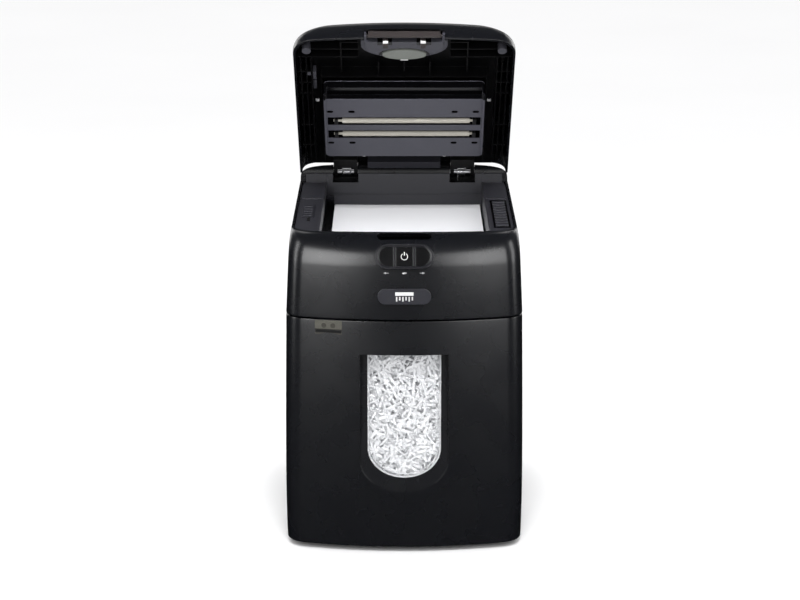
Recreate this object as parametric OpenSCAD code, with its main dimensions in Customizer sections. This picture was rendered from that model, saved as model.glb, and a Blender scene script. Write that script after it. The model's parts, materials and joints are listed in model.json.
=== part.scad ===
// Auto-feed paper shredder with a hinged feed lid and a pull-out bin.
// Millimetres. +X is the machine's right as seen from the front, +Y its rear, +Z up.
// The origin lies on the floor, at the middle of the machine's footprint.
// The lid is drawn at its open stop, which is the rest pose.

/* [Cabinet and bin] */
// Greatest width, near the floor
body_w = 320; // [316:1:330]
// Depth from the bowed front to the rear wall
body_d = 371; // [368:0.5:376]
// Height of the parting line between the bin front and the head
seam_z = 326; // [322:1:330]
// How far the front bows out at its middle
front_bow = 22; // [14:1:26]
// Wall thickness of the moulded shells
wall = 3; // [2.4:0.2:3.4]
// Height of the rubber feet
foot_h = 6; // [5:1:8]

/* [Bin window] */
// Width of the clear window
window_w = 99; // [80:1:104]
// Top of the window and of the grip pocket
window_top = 279; // [260:1:284]
// Bottom of the window
window_bottom = 107; // [100:1:120]
// Depth of the grip pocket under its top edge
pocket_depth = 18; // [14:1:18]

/* [Head] */
// Height of the deck that the lid's rim closes on
deck_z = 437; // [435:1:439]
// Width across the deck
deck_w = 298; // [296:1:300]
// Half width of the sheet chamber
chamber_half = 112; // [110:1:113]
// Height of the sheet chamber's floor
chamber_floor = 392; // [390:0.5:393]
// Y of the chamber's rear wall, where the lid ends
rear_y = 150; // [149:0.5:151]

/* [Lid] */
// Opening angle of the lid at its stop
lid_open = 49.5; // [30:0.5:60]
// Hinge axis, distance behind the origin
hinge_y = 162; // [160:0.5:164]
// Hinge axis, height
hinge_z = 449; // [447:0.5:451]
// Half width of the pressure plate
plate_half = 109.5; // [104:0.5:110]
// Height of the pressure plate's face when the lid is closed
plate_z = 414; // [413:0.5:416]

/* [Cutter and drive] */
// Outer radius of the cutting discs
disc_r = 19; // [18.5:0.1:19.2]
// Radius of the cutter shafts between the discs
core_r = 14; // [12:0.5:14.2]
// Distance between the cutter shafts
shaft_gap = 34; // [34:0.1:34.4]
// Height of the cutter shafts
cutter_z = 346; // [346:1:347]
// Number of discs on each shaft
discs = 22; // [10:1:22]
// Pitch of the discs along a shaft
disc_pitch = 10; // [9.8:0.1:10]

/* [Hidden] */
$fn = 48;
eps = 0.01;
front_y = -body_d / 2;
back_y = body_d / 2;
half_w = body_w / 2;
deck_half = deck_w / 2;
rail_gap = 1;                 // gap between the bin front and the shells round it
hinge_x1 = 66;                // inner side of a hinge notch
hinge_x2 = 102;               // outer side of a hinge notch
pin_r = 3;
lid_gap = 0.6;                // gap between the lid's rim and the deck

// ---- curves -------------------------------------------------------------------------------

function lerp(a, b, t) = a + (b - a) * t;
function bezier(p0, p1, p2, p3, t) =
    pow(1 - t, 3) * p0 + 3 * pow(1 - t, 2) * t * p1 + 3 * (1 - t) * t * t * p2 + pow(t, 3) * p3;

// Half of a bowed edge with a round corner, from the middle of the edge to the side.
// y0 is the edge at x = 0, s is -1 for a front edge and 1 for a rear edge.
function half_edge(hw, y0, bow, r, s, n = 7, m = 7) =
    let (xa = hw - r, k = bow / (hw * hw),
         ya = y0 - s * k * xa * xa, slope = -s * 2 * k * xa,
         corner = [hw, ya + slope * r], side = [hw, ya + slope * r - s * r],
         start = [xa, ya])
    concat([for (i = [0 : n - 1]) let (x = xa * i / n) [x, y0 - s * k * x * x]],
           [for (i = [0 : m]) bezier(start, lerp(start, corner, 0.56), lerp(side, corner, 0.56),
                                     side, i / m)]);

// Closed plan outline: bowed front, straight sides, slightly bowed rear. Counter-clockwise.
function plan(hw, yf, bow_f, r_f, yb, bow_b, r_b) =
    let (f = half_edge(hw, yf, bow_f, r_f, -1), b = half_edge(hw, yb, bow_b, r_b, 1),
         nf = len(f), nb = len(b))
    concat(f, [for (i = [nb - 1 : -1 : 0]) b[i]],
           [for (i = [1 : nb - 1]) [-b[i][0], b[i][1]]],
           [for (i = [nf - 1 : -1 : 1]) [-f[i][0], f[i][1]]]);

// Solid through a stack of outlines with the same number of points. levels = [[z, outline], ...]
module loft(levels) {
    n = len(levels[0][1]);
    count = len(levels);
    points = [for (level = levels) for (p = level[1]) [p[0], p[1], level[0]]];
    sides = [for (j = [0 : count - 2]) for (i = [0 : n - 1]) for (h = [0, 1])
        let (a = j * n + i, b = j * n + (i + 1) % n)
        h == 0 ? [a, b + n, b] : [a, a + n, b + n]];
    bottom = [[for (i = [0 : n - 1]) i]];
    top = [[for (i = [n - 1 : -1 : 0]) (count - 1) * n + i]];
    polyhedron(points = points, faces = concat(bottom, sides, top), convexity = 8);
}

// Box given by its lowest and highest corners.
module block(low, high) {
    translate(low) cube(high - low);
}

// Stadium outline, centred.
module stadium(w, h) {
    square([w - h, h], center = true);
    for (s = [-1, 1]) translate([s * (w - h) / 2, 0]) circle(h / 2);
}

// Rectangle with round corners, centred.
module round_square(w, h, r) {
    square([w - 2 * r, h], center = true);
    square([w, h - 2 * r], center = true);
    for (x = [-1, 1], y = [-1, 1]) translate([x * (w / 2 - r), y * (h / 2 - r)]) circle(r);
}

// Cylinder along +X.
module rod_x(x1, x2, y, z, r) {
    translate([x1, y, z]) rotate([0, 90, 0]) cylinder(h = x2 - x1, r = r);
}

// Pan-head screw pointing along -Z, its head's underside at the origin.
module screw(r = 2, length = 10) {
    cylinder(h = 1.6, r = r * 1.9);
    if (length > 0) translate([0, 0, -length]) cylinder(h = length + eps, r = r);
}

// Turns what is drawn for a closed lid to the lid's open stop.
module on_lid() {
    translate([0, hinge_y, hinge_z]) rotate([-lid_open, 0, 0]) translate([0, -hinge_y, -hinge_z])
        children();
}

// Both sides of the machine's middle plane.
module both_sides() {
    children();
    mirror([1, 0, 0]) children();
}

// ---- cabinet ------------------------------------------------------------------------------

cabinet_front = -136;
cabinet_z0 = foot_h;

// Half width of the body at a height: it swells a little towards the floor.
function body_half(z) =
    half_w - 3.2 * pow(max(0, z - 90) / 236, 1.4) - 1.2 * pow(max(0, 70 - z) / 64, 2);

// Plan of the cabinet behind the bin front, inset by d.
function cabinet_plan(z, d) =
    plan(body_half(z) - d, cabinet_front + d, 0.5, 2, back_y - d, 6, 26 - d);

module cabinet_block(d, z1, z2) {
    loft([for (i = [0 : 6]) let (z = lerp(z1, z2, i / 6)) [z, cabinet_plan(z, d)]]);
}

module cabinet_shell() color([0.1, 0.1, 0.11]) {
    difference() {
        cabinet_block(0, cabinet_z0 + 4, seam_z - 1);
        cabinet_block(wall, cabinet_z0 - 1, seam_z + 1);
        block([-half_w - 1, cabinet_front - 2, 0], [half_w + 1, cabinet_front + 6, seam_z]);
    }
}

module base_pan() color([0.08, 0.08, 0.085]) {
    difference() {
        union() {
            cabinet_block(0, cabinet_z0, cabinet_z0 + 3.9);
            for (s = [-1, 1])
                block([s * 143 - 5, -120, cabinet_z0 + 1], [s * 143 + 5, 166, cabinet_z0 + 9]);
        }
        for (x = [-126, 126], y = [-104, 150])
            translate([x, y, cabinet_z0 - 1]) cylinder(h = 2.5, r = 13.2);
    }
}

module rubber_feet() color([0.06, 0.06, 0.06]) {
    for (x = [-126, 126], y = [-104, 150]) translate([x, y, 0]) {
        cylinder(h = 1.5, r1 = 11.6, r2 = 13);
        translate([0, 0, 1.5 - eps]) cylinder(h = cabinet_z0, r = 13);
    }
}

module cabinet_screws() color([0.6, 0.6, 0.62]) {
    for (x = [-110, 110], z = [40, 180, 300])
        translate([x, back_y - 6 * pow(x / half_w, 2) + 0.2, z]) rotate([-90, 0, 0])
            cylinder(h = 1.2, r = 3.6);
}

// ---- head ---------------------------------------------------------------------------------

head_z0 = seam_z + 1.2;
shoulder_z = 398;             // where the front starts to roll back
rim_y = -148;                 // outside of the front panel at its top edge

// Share of the way round the shoulder, 0 below it and 1 at the deck.
function shoulder(z) =
    z < shoulder_z ? 0 : 1 - sqrt(max(0, 1 - pow((z - shoulder_z) / (deck_z - shoulder_z), 2)));

// Plan of the head at a height, inset by d.
function head_plan(z, d) =
    let (s = shoulder(z), t = (z - seam_z) / (deck_z - seam_z),
         lean = 4 * pow(t, 2),
         hw = lerp(half_w - 3.2, deck_half + 2.4, t) - 2.4 * s,
         yf = front_y + 1.5 + lean + (rim_y - front_y - 5.5) * s)
    plan(hw - d, yf + d, lerp(front_bow, 9, s), lerp(20, 30, s) - d, back_y - d, 6, 26 - d);

// The head's shell from its lower edge to the deck, inset by d with its top d lower.
module head_block(d, start) {
    loft(concat([for (i = [0 : 4]) let (z = lerp(head_z0, shoulder_z, i / 4))
                    [i == 0 ? z + start : z, head_plan(z, d)]],
                [for (a = [15 : 15 : 90]) let (rise = sin(a))
                    [shoulder_z + (deck_z - d - shoulder_z) * rise,
                     head_plan(shoulder_z + (deck_z - shoulder_z) * rise, d)]]));
}

// Frame of the control panel: its face lies in the XY plane of this frame, looking along +Z.
control_y = -176.6;
control_z = 411.5;
control_tilt = 20;
module at_controls() {
    translate([0, control_y, control_z]) rotate([90 - control_tilt, 0, 0]) children();
}

badge_z = 360;
badge_y = front_y + 1.9;

module head_shell() color([0.11, 0.11, 0.12]) {
    difference() {
        head_block(0, 0);
        head_block(wall, -2);
        // opening for the deck
        translate([0, 0, deck_z - wall - 1]) linear_extrude(wall + 2)
            polygon(plan(deck_half - 2.6, rim_y + 3, 8, 26, rear_y - 0.2, 0.5, 1));
        // seat of the rear housing
        block([-deck_half + 2.6, rear_y - 1, deck_z - wall - 1], [deck_half - 2.6, 180, deck_z + 1]);
        // finger slot in front of the lid's lever
        translate([0, -158, deck_z - 16]) linear_extrude(20) stadium(71, 13);
        // pocket of the control panel
        at_controls() translate([0, 0, -12]) linear_extrude(30) stadium(77.4, 34.4);
        // seat of the badge
        translate([0, badge_y, badge_z]) rotate([90, 0, 0]) linear_extrude(10) stadium(70.4, 21.4);
        // inlet and switch in the rear wall
        block([86, back_y - 8, 341], [118, back_y + 1, 365]);
        block([52.8, back_y - 8, 342.6], [73.2, back_y + 1, 363.4]);
    }
}

// Place of the lid switch, under the left ledge.
switch_x = -128.8;
switch_y = -72;

// Walls, floor and ledges of the sheet chamber in one moulding.
deck_t = 2.4;
throat_y = 40;                // half length of the opening over the feed rollers
module top_deck() color([0.14, 0.14, 0.15]) {
    front_in = -144.5;
    difference() {
        union() {
            // ledges
            translate([0, 0, deck_z - 7]) linear_extrude(4)
                polygon(plan(deck_half - 3.4, rim_y + 4, 8, 25, rear_y - 0.6, 0.5, 1));
            // chamber walls
            block([-chamber_half - deck_t, front_in - deck_t, chamber_floor - deck_t],
                  [chamber_half + deck_t, rear_y - 0.6, deck_z - 3]);
            // raised lips along both sides of the chamber
            for (s = [-1, 1])
                block([s * (chamber_half + 1.2) - 1.2, -139, deck_z - 4],
                      [s * (chamber_half + 1.2) + 1.2, rear_y - 0.6, deck_z]);
            // higher rear part of the ledges
            for (s = [-1, 1])
                block([s * 129 - 14.5, 52, deck_z - 4], [s * 129 + 14.5, rear_y - 0.6, deck_z - 0.8]);
            // rear wall up to the housing
            block([-141, rear_y - 3, deck_z - 4], [141, rear_y - 0.6, deck_z + 12]);
        }
        block([-chamber_half, front_in, chamber_floor], [chamber_half, rear_y - 3, deck_z + 20]);
        block([-chamber_half, rear_y - 4, 419], [chamber_half, rear_y - 1.8, deck_z + 20]);
        block([-107, -throat_y, chamber_floor - 5], [107, throat_y, chamber_floor + 1]);
        // room under the head's front edge
        block([-117, front_in - 4, deck_z - 5.4], [117, -139.4, deck_z + 1]);
        for (s = [-1, 1])
            block([s * 84 - 18.6, rear_y - 10, deck_z - 1], [s * 84 + 18.6, rear_y + 1, deck_z + 20]);
        translate([switch_x, switch_y, deck_z - 8]) cylinder(h = 10, r = 2.6);
    }
}

// Cap levels shared by the lid and the rear housing behind it:
// [z, half width, front y, front bow, front radius, rear y, rear bow, rear radius]
cap_levels = [
    [deck_z,        149,   -150,   9,  26, 185.5, 5,  30],
    [deck_z + 11,   148.5, -149.8, 9,  26, 181.8, 5,  30],
    [deck_z + 19,   145.6, -149.2, 9,  28, 172,   6,  33],
    [deck_z + 24,   140.5, -148.4, 9,  31, 157.8, 7,  37],
    [deck_z + 28,   133,   -146.8, 9,  34, 152.4, 8,  40],
    [deck_z + 30.5, 124,   -144,   9,  38, 150.6, 9,  42],
    [deck_z + 33,   110,   -136,   9,  42, 145,   11, 42],
    [deck_z + 36,   93,    -121,   10, 42, 134,   12, 42],
    [deck_z + 39.5, 75,    -100,   10, 40, 116,   12, 40],
    [deck_z + 43.5, 55,    -72,    8,  34, 90,    8,  34],
    [deck_z + 47,   36,    -44,    5,  24, 62,    5,  24],
    [deck_z + 49.5, 16,    -18,    2,  12, 30,    2,  12]];

module cap(d, drop = 0, low = 0) {
    rows = concat(low > 0 ? [[cap_levels[0][0] - low + drop, 149, -150, 9, 26, 185.5, 5, 30]] : [],
                  cap_levels);
    loft([for (c = rows) [c[0] - drop, plan(c[1] - d, c[2] + d, c[3], c[4] - d / 2, c[5] - d, c[6],
                                            c[7] - d / 2)]]);
}

// Everything behind the lid's edge: a round nose about the hinge axis, so the edge can swing over it.
nose_r = 12.2;
module housing_side(d, low) {
    block([-half_w, rear_y + d, low], [half_w, hinge_y + eps, hinge_z]);
    rod_x(-half_w, half_w, hinge_y, hinge_z, nose_r - d);
    block([-half_w, hinge_y, low], [half_w, back_y + 1, 500]);
}

// Fixed part of the cap behind the lid, with its hinge lugs.
module rear_housing() color([0.1, 0.1, 0.11]) {
    difference() {
        union() {
            difference() {
                intersection() {
                    cap(0);
                    housing_side(0, deck_z);
                }
                intersection() {
                    cap(wall, wall, 4);
                    housing_side(wall, deck_z - 10);
                }
            }
            // cheeks that hold the hinge pins
            both_sides() for (x = [hinge_x1 - 3, hinge_x2]) {
                rod_x(x, x + 3, hinge_y, hinge_z, 10);
                block([x, hinge_y - 10, deck_z], [x + 3, hinge_y + 10, hinge_z]);
            }
        }
        // notches that the hinge arms swing in
        both_sides() block([hinge_x1, rear_y - 1, deck_z - 1], [hinge_x2, 173, 500]);
        both_sides() rod_x(hinge_x1 - 4, hinge_x2 + 4, hinge_y, hinge_z, pin_r);
    }
}

// Lower chassis plate of the head, with the outlet over the bin.
module head_pan() color([0.09, 0.09, 0.09]) {
    difference() {
        union() {
            loft([for (z = [head_z0 - 16, head_z0 - 12]) [z, cabinet_plan(seam_z, wall + 1.2)]]);
            // standing ribs under the side plates
            for (s = [-1, 1])
                block([s * 117.25 - 2.6, -60, head_z0 - 13], [s * 117.25 + 2.6, 64, head_z0 - 6]);
        }
        block([-112, -40, head_z0 - 20], [112, 40, head_z0]);
        for (s = [-1, 1])
            block([s * 117.25 - 1.25, -61, head_z0 - 9.8], [s * 117.25 + 1.25, 65, head_z0]);
    }
}

// ---- controls -----------------------------------------------------------------------------

key_h = 24;                   // height of the keys in the panel
key_gap = 0.35;

module control_bezel() color([0.2, 0.2, 0.22]) {
    at_controls() difference() {
        union() {
            translate([0, 0, -5]) linear_extrude(7) stadium(77, 34);
            translate([0, 0, 2 - eps]) linear_extrude(1.2) difference() {
                stadium(76, 33);
                stadium(71, 28);
            }
        }
        translate([0, 0, -6]) linear_extrude(12) {
            translate([-24, 0]) key_outline(-1, key_gap);
            key_outline(0, key_gap);
            translate([24, 0]) key_outline(1, key_gap);
        }
    }
}

// A key: round on its outer side, straight towards its neighbour. side 0 is the middle key.
module key_outline(side, grow) {
    w = side == 0 ? 22 : 19;
    offset(delta = grow)
        if (side == 0) square([w, key_h], center = true);
        else intersection() {
            translate([-side * 8, 0]) stadium(w + 16, key_h);
            translate([side * 0.25, 0]) square([w, key_h], center = true);
        }
}

module key(side) {
    at_controls() {
        translate([side * 24, 0, -3.4]) linear_extrude(5.6) key_outline(side, 0);
        translate([side * 24, 0, -6.8]) cylinder(h = 4, r = 2.4);
    }
}
module button_reverse() color([0.05, 0.05, 0.06]) key(-1);
module button_auto() color([0.05, 0.05, 0.06]) key(0);
module button_forward() color([0.05, 0.05, 0.06]) key(1);

// Board behind the keys, with one push switch under each.
module control_board() color([0.1, 0.32, 0.18]) {
    at_controls() {
        translate([-36, -14, -13.6]) cube([72, 28, 1.6]);
        for (x = [-24, 0, 24]) {
            translate([x - 3, -3, -12.1]) cube([6, 6, 2.6]);
            translate([x, 0, -9.6]) cylinder(h = 1.2, r = 1.6);
        }
    }
}

module badge_plate() color([0.24, 0.24, 0.26]) {
    translate([0, badge_y, badge_z]) rotate([90, 0, 0]) {
        linear_extrude(2.4) stadium(70, 21);
        // picture of a sheet over cut strips
        translate([-7, 3, 2.4 - eps]) cube([14, 2, 0.5]);
        for (i = [-2 : 2]) translate([i * 3 - 1, -5, 2.4 - eps]) cube([2, 6.4, 0.5]);
    }
}

// Plate of pictograms on the left ledge.
module guide_label() color([0.2, 0.2, 0.21]) {
    translate([0, 0, deck_z - 3]) {
        block([-139, -56, 0], [-122, 14, 0.8]);
        for (i = [0 : 4]) block([-137, -49 + i * 13, 0.8 - eps], [-125, -46.5 + i * 13, 1.3]);
    }
}

// Louvres on the right ledge, over the gear side.
module vent_grille() color([0.17, 0.17, 0.18]) {
    translate([0, 0, deck_z - 3]) {
        block([119, -112, 0], [142, 44, 0.8]);
        for (i = [0 : 9]) block([122, -104 + i * 14.5, 0.8 - eps], [139, -99 + i * 14.5, 2.2]);
    }
}

// Cup under the finger slot.
module finger_cup() color([0.07, 0.07, 0.07]) {
    difference() {
        union() {
            block([-38.5, -164.6, 421.6], [38.5, -149, 424.4]);
            block([-38.5, -161.8, 424.3], [38.5, -149, 426.4]);
        }
        block([-36.5, -163.4, 423.4], [36.5, -150.6, deck_z]);
    }
}

// ---- electronics --------------------------------------------------------------------------

module main_board() color([0.12, 0.34, 0.2]) {
    block([-100, -128, 330], [60, -62, 331.6]);
    // relays, capacitor, transformer and terminal row
    for (x = [-92, -68]) block([x, -122, 331.6 - eps], [x + 18, -107, 347]);
    translate([-20, -96, 331.6 - eps]) cylinder(h = 28, r = 9);
    block([4, -118, 331.6 - eps], [40, -84, 358]);
    block([-60, -76, 331.6 - eps], [20, -66, 343]);
    // stand-offs on the chassis plate
    for (x = [-94, 54], y = [-122, -68])
        translate([x, y, head_z0 - 12]) cylinder(h = 330 - head_z0 + 12 + eps, r = 3.4);
}

module mains_inlet() color([0.05, 0.05, 0.05]) {
    difference() {
        union() {
            block([87, 165, 342], [117, back_y - 1, 364]);
            block([84, back_y - 1.2, 339], [120, back_y, 367]);
        }
        block([90, 169, 344.8], [114, back_y + 1, 361.2]);
    }
    for (p = [[95, 350.5], [102, 355.5], [109, 350.5]])
        block([p[0] - 1, 168, p[1] - 2], [p[0] + 1, back_y - 8.5, p[1] + 2]);
    // frame of the rocker
    difference() {
        union() {
            block([53, 165, 342.8], [73, back_y - 0.5, 363.2]);
            block([51, back_y - 0.55, 341.5], [75, back_y, 364.5]);
        }
        block([55.4, 168, 343.9], [70.6, back_y + 1, 362.1]);
        rod_x(54, 72, rocker_y, rocker_z, 1.55);
    }
}

rocker_y = 178;
rocker_z = 353;
// Rocker turned a little about its pivot, so that one end stands out.
module power_rocker() color([0.5, 0.08, 0.07]) {
    translate([63, rocker_y, rocker_z]) rotate([8, 0, 0]) intersection() {
        rotate([0, 90, 0]) translate([0, 0, -7]) cylinder(h = 14, r = 8.4);
        block([-7, -6, -8], [7, 6.1, 8]);
    }
    rod_x(54.5, 71.5, rocker_y, rocker_z, 1.5);
}

module lid_switch() color([0.07, 0.07, 0.08]) {
    difference() {
        block([switch_x - 6, switch_y - 8, 404], [switch_x + 6, switch_y + 8, 428.5]);
        translate([switch_x, switch_y, 418]) cylinder(h = 12, r = 1.9);
    }
}
module lid_switch_plunger() color([0.16, 0.16, 0.17]) {
    translate([switch_x, switch_y, 421]) cylinder(h = deck_z - 421 + 2, r = 1.7);
}

module bin_switch() color([0.07, 0.07, 0.08]) {
    difference() {
        block([52, 175.8, 296], [68, 180.9, 310]);
        translate([60, 175, 303]) rotate([-90, 0, 0]) cylinder(h = 5, r = 1.9);
    }
}
module bin_switch_plunger() color([0.75, 0.2, 0.12]) {
    translate([60, 173.4, 303]) rotate([-90, 0, 0]) cylinder(h = 3.6, r = 1.7);
}

// ---- gears --------------------------------------------------------------------------------

pressure = 25;                // pressure angle of every gear
function involute(rb, r) = let (a = acos(min(1, rb / r))) tan(a) * 180 / PI - a;

// Outline of a gear with one tooth centred on angle phase.
function gear_points(z, m, phase, steps = 4) =
    let (rp = m * z / 2, rb = rp * cos(pressure), ra = rp + 0.85 * m, rr = rp - 1.15 * m,
         half = 90 / z - 0.06 * 57.3 / z, r0 = max(rb, rr + 0.1), inv0 = involute(rb, rp),
         flank = [for (i = [0 : steps]) let (r = lerp(r0, ra, i / steps))
             [r, half + inv0 - involute(rb, r)]])
    [for (t = [0 : z - 1]) let (c = phase + t * 360 / z)
        for (p = concat([[rr, -flank[0][1] - 0.4]], [for (f = flank) [f[0], -f[1]]],
                        [for (i = [steps : -1 : 0]) flank[i]], [[rr, flank[0][1] + 0.4]]))
            [p[0] * cos(c + p[1]), p[0] * sin(c + p[1])]];

// Gear about an axis along +X. Angles are measured from +Y towards +Z.
module gear(axis, x1, x2, z, m, phase) {
    translate([x1, axis[0], axis[1]]) rotate([90, 0, 90])
        linear_extrude(x2 - x1) polygon(gear_points(z, m, phase));
}

function bearing(a, b) = atan2(b[1] - a[1], b[0] - a[0]);
// Phase of the gear at b that meshes with the gear at a.
function mesh_phase(a, b, za, zb, phase_a) =
    let (beta = bearing(a, b)) beta + 180 - (360 / zb) * (0.5 - (beta - phase_a) * za / 360);

axis_front = [-shaft_gap / 2, cutter_z];
axis_rear = [shaft_gap / 2, cutter_z];
axis_second = axis_rear + [27, 18.1];
axis_first = axis_second + [26, -9];
axis_motor = axis_first + [24, -11];
roller_y = 22;
roller_z = cutter_z + 37;
roller_front = [-roller_y, roller_z];
roller_rear = [roller_y, roller_z];
idler_front = [-24.67, cutter_z + 15.17];
idler_rear = [24.67, cutter_z + 15.17];

sync_z = 20;                  // teeth of the gears that tie the cutter shafts together
sync_m = shaft_gap / sync_z;
final_z = 40;                 // last reduction, on the rear cutter shaft
take_z = 16;                  // feed take-off gears
idler_z = 18;
feed_z = 26;
second_z = 44;
second_pin = 12;
first_z = 56;
first_pin = 11;
motor_pin = 10;

phase_rear = 0;
phase_front = mesh_phase(axis_rear, axis_front, sync_z, sync_z, phase_rear);
phase_final = 0;
phase_second_pin = mesh_phase(axis_rear, axis_second, final_z, second_pin, phase_final);
phase_second = 0;
phase_first_pin = mesh_phase(axis_second, axis_first, second_z, first_pin, phase_second);
phase_first = 0;
phase_motor = mesh_phase(axis_first, axis_motor, first_z, motor_pin, phase_first);
phase_idler_front = mesh_phase(axis_front, idler_front, take_z, idler_z, 0);
phase_feed_front = mesh_phase(idler_front, roller_front, idler_z, feed_z, phase_idler_front);
phase_idler_rear = mesh_phase(axis_rear, idler_rear, take_z, idler_z, 0);
phase_feed_rear = mesh_phase(idler_rear, roller_rear, idler_z, feed_z, phase_idler_rear);

// ---- cutter block -------------------------------------------------------------------------

disc_t = 4.6;
side_x = 116;                 // inner face of the side plates
side_t = 2.5;

// Outline of a cutting disc with hooked teeth.
function disc_points(phase, hooks = 3, n = 7) =
    [for (h = [0 : hooks - 1]) let (a = phase + h * 360 / hooks)
        for (p = concat([for (i = [0 : n - 1]) [disc_r, 12 + i * (108 - 12) / (n - 1)]],
                        [[disc_r - 2.6, 116]]))
            [p[0] * cos(a + p[1]), p[0] * sin(a + p[1])]];

// Cutter shaft: discs on a core, journals and the sync gear. offset_x staggers the two shafts.
module cutter(axis, offset_x, spin) {
    rod_x(-112, 112, axis[0], axis[1], core_r);
    rod_x(-129, 142, axis[0], axis[1], 5);
    for (i = [0 : discs - 1])
        translate([offset_x + (i - (discs - 1) / 2) * disc_pitch - disc_t / 2, axis[0], axis[1]])
            rotate([90, 0, 90]) linear_extrude(disc_t) polygon(disc_points(spin * i * 17));
}

module cutter_shaft_front() color([0.55, 0.56, 0.58]) {
    cutter(axis_front, -disc_pitch / 4, 1);
    gear(axis_front, 120, 126, sync_z, sync_m, phase_front);
    gear(axis_front, -127, -121.5, take_z, 1, 0);
}
module cutter_shaft_rear() color([0.55, 0.56, 0.58]) {
    cutter(axis_rear, disc_pitch / 4, -1);
    gear(axis_rear, 120, 126, sync_z, sync_m, phase_rear);
    gear(axis_rear, 134.5, 141, final_z, 1.25, phase_final);
    gear(axis_rear, -127, -121.5, take_z, 1, 0);
}

// Combs that strip the shreds from between the discs.
module stripper_combs() color([0.12, 0.12, 0.12]) {
    for (s = [-1, 1]) {
        shift = s * disc_pitch / 4;
        block([-side_x, s > 0 ? 38.5 : -44.5, 336], [side_x, s > 0 ? 44.5 : -38.5, 356]);
        for (i = [0 : discs]) {
            x = shift + (i - discs / 2) * disc_pitch;
            if (abs(x) < 110)
                block([x - 2.2, s > 0 ? 32.4 : -39, 340], [x + 2.2, s > 0 ? 39 : -32.4, 352]);
        }
    }
}

module side_plate(x, back) {
    difference() {
        block([x, -48, head_z0 - 9.8], [x + side_t, back, 404]);
        for (a = [axis_front, axis_rear]) rod_x(x - 1, x + side_t + 1, a[0], a[1], 9);
        for (a = [roller_front, roller_rear]) rod_x(x - 1, x + side_t + 1, a[0], a[1], 6);
        for (y = [-42, 42]) for (z = [327, 380]) rod_x(x - 1, x + side_t + 1, y, z, 2.5);
        if (back > 60) {
            rod_x(x - 1, x + side_t + 1, axis_motor[0], axis_motor[1], 8);
            for (a = [axis_first, axis_second]) rod_x(x - 1, x + side_t + 1, a[0], a[1], 3);
        } else for (a = [idler_front, idler_rear]) rod_x(x - 1, x + side_t + 1, a[0], a[1], 3);
    }
}
module side_plate_right() color([0.62, 0.63, 0.65]) side_plate(side_x, 120);
module side_plate_left() color([0.62, 0.63, 0.65]) side_plate(-side_x - side_t, 48);

// Bushes of the cutter shafts and feed rollers, pressed into the side plates.
module bush(x, a, outer, inner) {
    difference() {
        rod_x(x - 0.6, x + side_t + 0.6, a[0], a[1], outer);
        rod_x(x - 2, x + side_t + 2, a[0], a[1], inner);
    }
}
module shaft_bearings() color([0.7, 0.6, 0.35]) {
    for (x = [side_x, -side_x - side_t]) {
        for (a = [axis_front, axis_rear]) bush(x, a, 9, 5.05);
        for (a = [roller_front, roller_rear]) bush(x, a, 6, 4.05);
    }
}

module tie_rods() color([0.6, 0.61, 0.63]) {
    for (y = [-42, 42]) for (z = [327, 380]) {
        rod_x(-side_x - side_t - 3, side_x + side_t + 3, y, z, 2.5);
        for (s = [-1, 1]) let (x = s * (side_x + side_t + 1.6)) rod_x(x - 1.6, x + 1.6, y, z, 4.5);
    }
}

// Fixed axles of the loose gears.
module gear_axles() color([0.6, 0.61, 0.63]) {
    rod_x(side_x, 135, axis_first[0], axis_first[1], 3);
    rod_x(side_x, 143, axis_second[0], axis_second[1], 3);
    for (a = [idler_front, idler_rear]) rod_x(-129, -side_x, a[0], a[1], 3);
}

module feed_roller(a) {
    rod_x(-side_x + 2, side_x - 2, a[0], a[1], 4);
    for (x = [-84, -28, 28, 84]) rod_x(x - 16, x + 16, a[0], a[1], 12);
}
module feed_roller_front() color([0.2, 0.2, 0.2]) {
    feed_roller(roller_front);
    rod_x(-128, side_x + side_t + 3, roller_front[0], roller_front[1], 4);
    gear(roller_front, -127, -121.5, feed_z, 1, phase_feed_front);
}
module feed_roller_rear() color([0.2, 0.2, 0.2]) {
    feed_roller(roller_rear);
    rod_x(-128, side_x + side_t + 3, roller_rear[0], roller_rear[1], 4);
    gear(roller_rear, -127, -121.5, feed_z, 1, phase_feed_rear);
}

module loose_gear(a, x1, x2, z, phase) {
    difference() {
        gear(a, x1, x2, z, 1, phase);
        rod_x(x1 - 1, x2 + 1, a[0], a[1], 3.05);
    }
}
module feed_idler_front() color([0.85, 0.85, 0.8])
    loose_gear(idler_front, -127, -121.5, idler_z, phase_idler_front);
module feed_idler_rear() color([0.85, 0.85, 0.8])
    loose_gear(idler_rear, -127, -121.5, idler_z, phase_idler_rear);

// Two-step gear: a large wheel with its pinion beside it.
module reduction_gear(a, x1, x2, z, m, phase, x3, pin_z, pin_m, pin_phase) {
    difference() {
        union() {
            gear(a, x1, x2, z, m, phase);
            gear(a, x2 - eps, x3, pin_z, pin_m, pin_phase);
        }
        rod_x(x1 - 1, x3 + 1, a[0], a[1], 3.05);
    }
}
module reduction_gear_first() color([0.85, 0.85, 0.8])
    reduction_gear(axis_first, 120.5, 126, first_z, 0.8, phase_first,
                   133, first_pin, 1, phase_first_pin);
module reduction_gear_second() color([0.85, 0.85, 0.8])
    reduction_gear(axis_second, 127, 132.5, second_z, 1, phase_second,
                   141, second_pin, 1.25, phase_second_pin);

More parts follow.
